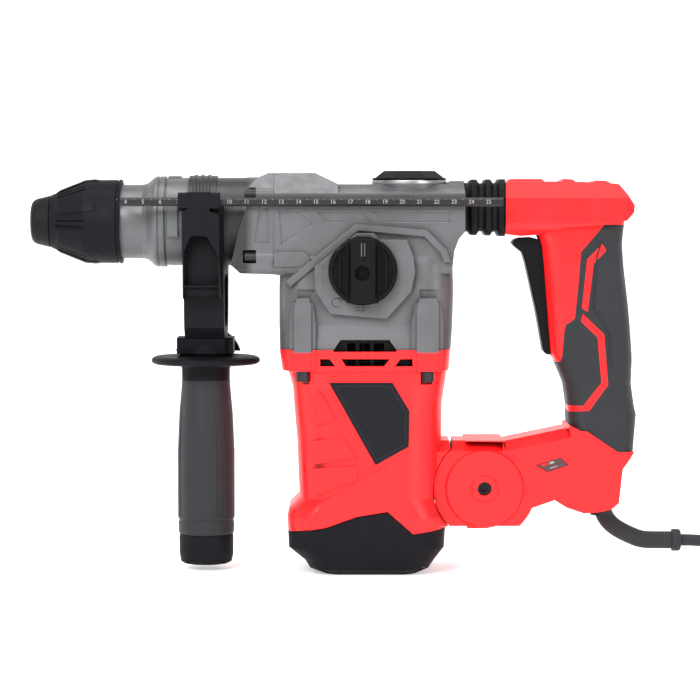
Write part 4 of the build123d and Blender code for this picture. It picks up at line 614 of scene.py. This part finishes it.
def coil_points():
    """Four turns wound inwards on the floor, three back outwards on top, and the way off."""
    turns = FLOOR_TURNS + UPPER_TURNS
    radii = [OUTER_RADIUS - STEP_IN * k for k in range(FLOOR_TURNS)]
    radii += [radii[-1] + STEP_IN / 2 + STEP_IN * k for k in range(UPPER_TURNS)]
    radii.append(LAST_RADIUS)
    lifts = [0.0] * FLOOR_TURNS + [STEP_UP] * UPPER_TURNS + [2 * STEP_UP]
    points = []
    for step in range(1, turns * TURN_STEPS + round(TURN_STEPS * LEAVE / 360) + 1):
        turn, angle = divmod(step * 360 / TURN_STEPS, 360)
        turn = int(turn)
        share = ease((angle - SHIFT_FROM) / (SHIFT_TO - SHIFT_FROM)) if turn < turns else 0.0
        after = min(turn + 1, turns)
        radius = radii[turn] + (radii[after] - radii[turn]) * share
        lift = lifts[turn] + (lifts[after] - lifts[turn]) * share
        if FLOOR_TURNS <= turn < turns - 1:
            lift += HUMP * math.sin(math.pi * share)
        points.append(coil_place(radius / math.cos(math.pi / TURN_STEPS), angle, lift))
    return points


def cord_curve(name, points, radius):
    """A smooth spline that takes the points as its control points."""
    curve = bpy.data.curves.new(name, "CURVE")
    curve.dimensions = "3D"
    spline = curve.splines.new("NURBS")
    spline.points.add(len(points) - 1)
    for point, place in zip(spline.points, points):
        point.co = (*place, 1.0)
    spline.order_u = 3
    spline.use_endpoint_u = True
    spline.resolution_u = 6
    curve.bevel_depth = radius
    curve.bevel_resolution = 5
    curve.use_fill_caps = True
    thing = bpy.data.objects.new(name, curve)
    bpy.context.scene.collection.objects.link(thing)
    return thing


PLUG_END = (0.5594, -0.0322, FLOOR + 13 * MM)  # where the cord enters the plug
PLUG_TURN, TAIL_RUN = math.radians(15), 0.027
TAIL = [(PLUG_END[0] - TAIL_RUN * math.cos(PLUG_TURN),
         PLUG_END[1] - TAIL_RUN * math.sin(PLUG_TURN), FLOOR + 14.6 * MM), PLUG_END]
cord = cord_curve("supply_cord", LEAD + coil_points() + TAIL, CORD_R)
cord.data.materials.append(looks["soft_rubber"])
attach(cord, "rear_handle")
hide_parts("cord_lead", "cord_coil")

# ---- Floor, light and camera ----------------------------------------------------------------------


FLOOR_FRONT, FLOOR_BACK = -3.0, 1.6
CURVE_RADIUS, CURVE_STEPS = 0.9, 12
WALL_TOP, PAPER_LEFT, PAPER_RIGHT = 4.0, -4.0, 4.4


def backdrop():
    """A pale floor that curves up into a wall behind."""
    g = Graph("studio_paper")
    g.set(Base_Color=g.mix(g.noise(3, 3.0), (0.86, 0.86, 0.87, 1), (0.9, 0.9, 0.905, 1)))
    g.set(Roughness=0.75, Normal=g.bump(g.noise(500, 2.0), 0.03 * MM, 0.3))
    g.set(Emission_Color=(1, 1, 1, 1), Emission_Strength=0.42)
    profile = [(FLOOR_FRONT, 0.0)]
    for step in range(CURVE_STEPS + 1):
        angle = math.radians(-90 + 90 * step / CURVE_STEPS)
        profile.append((FLOOR_BACK + CURVE_RADIUS * math.cos(angle),
                        CURVE_RADIUS + CURVE_RADIUS * math.sin(angle)))
    profile.append((FLOOR_BACK + CURVE_RADIUS, WALL_TOP))
    vertices = [(x, y, FLOOR + z) for y, z in profile for x in (PAPER_LEFT, PAPER_RIGHT)]
    faces = [(2 * k, 2 * k + 1, 2 * k + 3, 2 * k + 2) for k in range(len(profile) - 1)]
    floor = piece("floor", None, g.material, vertices, faces)


def area_light(name, place, target, size, power):
    data = bpy.data.lights.new(name, "AREA")
    data.shape = "RECTANGLE"
    data.size, data.size_y = size
    data.energy = power
    lamp = bpy.data.objects.new(name, data)
    bpy.context.scene.collection.objects.link(lamp)
    lamp.location = place
    lamp.rotation_euler = (Vector(target) - Vector(place)).to_track_quat("-Z", "Y").to_euler()


def studio():
    centre = (0.19, 0, -0.07)
    area_light("key", (-0.5, -1.7, 1.0), centre, (0.9, 0.9), 46)
    area_light("fill", (1.4, -1.4, 0.3), centre, (0.8, 1.2), 13)
    area_light("top", (0.2, -0.1, 1.7), centre, (1.4, 0.8), 24)
    area_light("rim_left", (-1.3, 0.4, 0.3), centre, (0.4, 1.5), 9)
    area_light("rim_right", (1.6, 0.5, 0.3), centre, (0.4, 1.5), 9)
    world = bpy.data.worlds.new("studio")
    bpy.context.scene.world = world
    world.use_nodes = True
    background = world.node_tree.nodes["Background"]
    background.inputs["Color"].default_value = (1, 1, 1, 1)
    background.inputs["Strength"].default_value = 0.34


CAMERA_X, CAMERA_Z, CAMERA_BACK = 0.1869, 0.0113, 1.5
FIELD = 0.4165  # width seen at the middle of the tool
CAMERA_TILT = 3.35  # degrees down


def camera():
    data = bpy.data.cameras.new("camera")
    data.sensor_width = 36
    data.lens = 36 * CAMERA_BACK / FIELD
    thing = bpy.data.objects.new("camera", data)
    bpy.context.scene.collection.objects.link(thing)
    thing.location = (CAMERA_X, -CAMERA_BACK, CAMERA_Z)
    thing.rotation_euler = (math.radians(90 - CAMERA_TILT), 0, 0)
    bpy.context.scene.camera = thing


backdrop()
studio()
camera()
bpy.context.scene.view_settings.view_transform = "Standard"
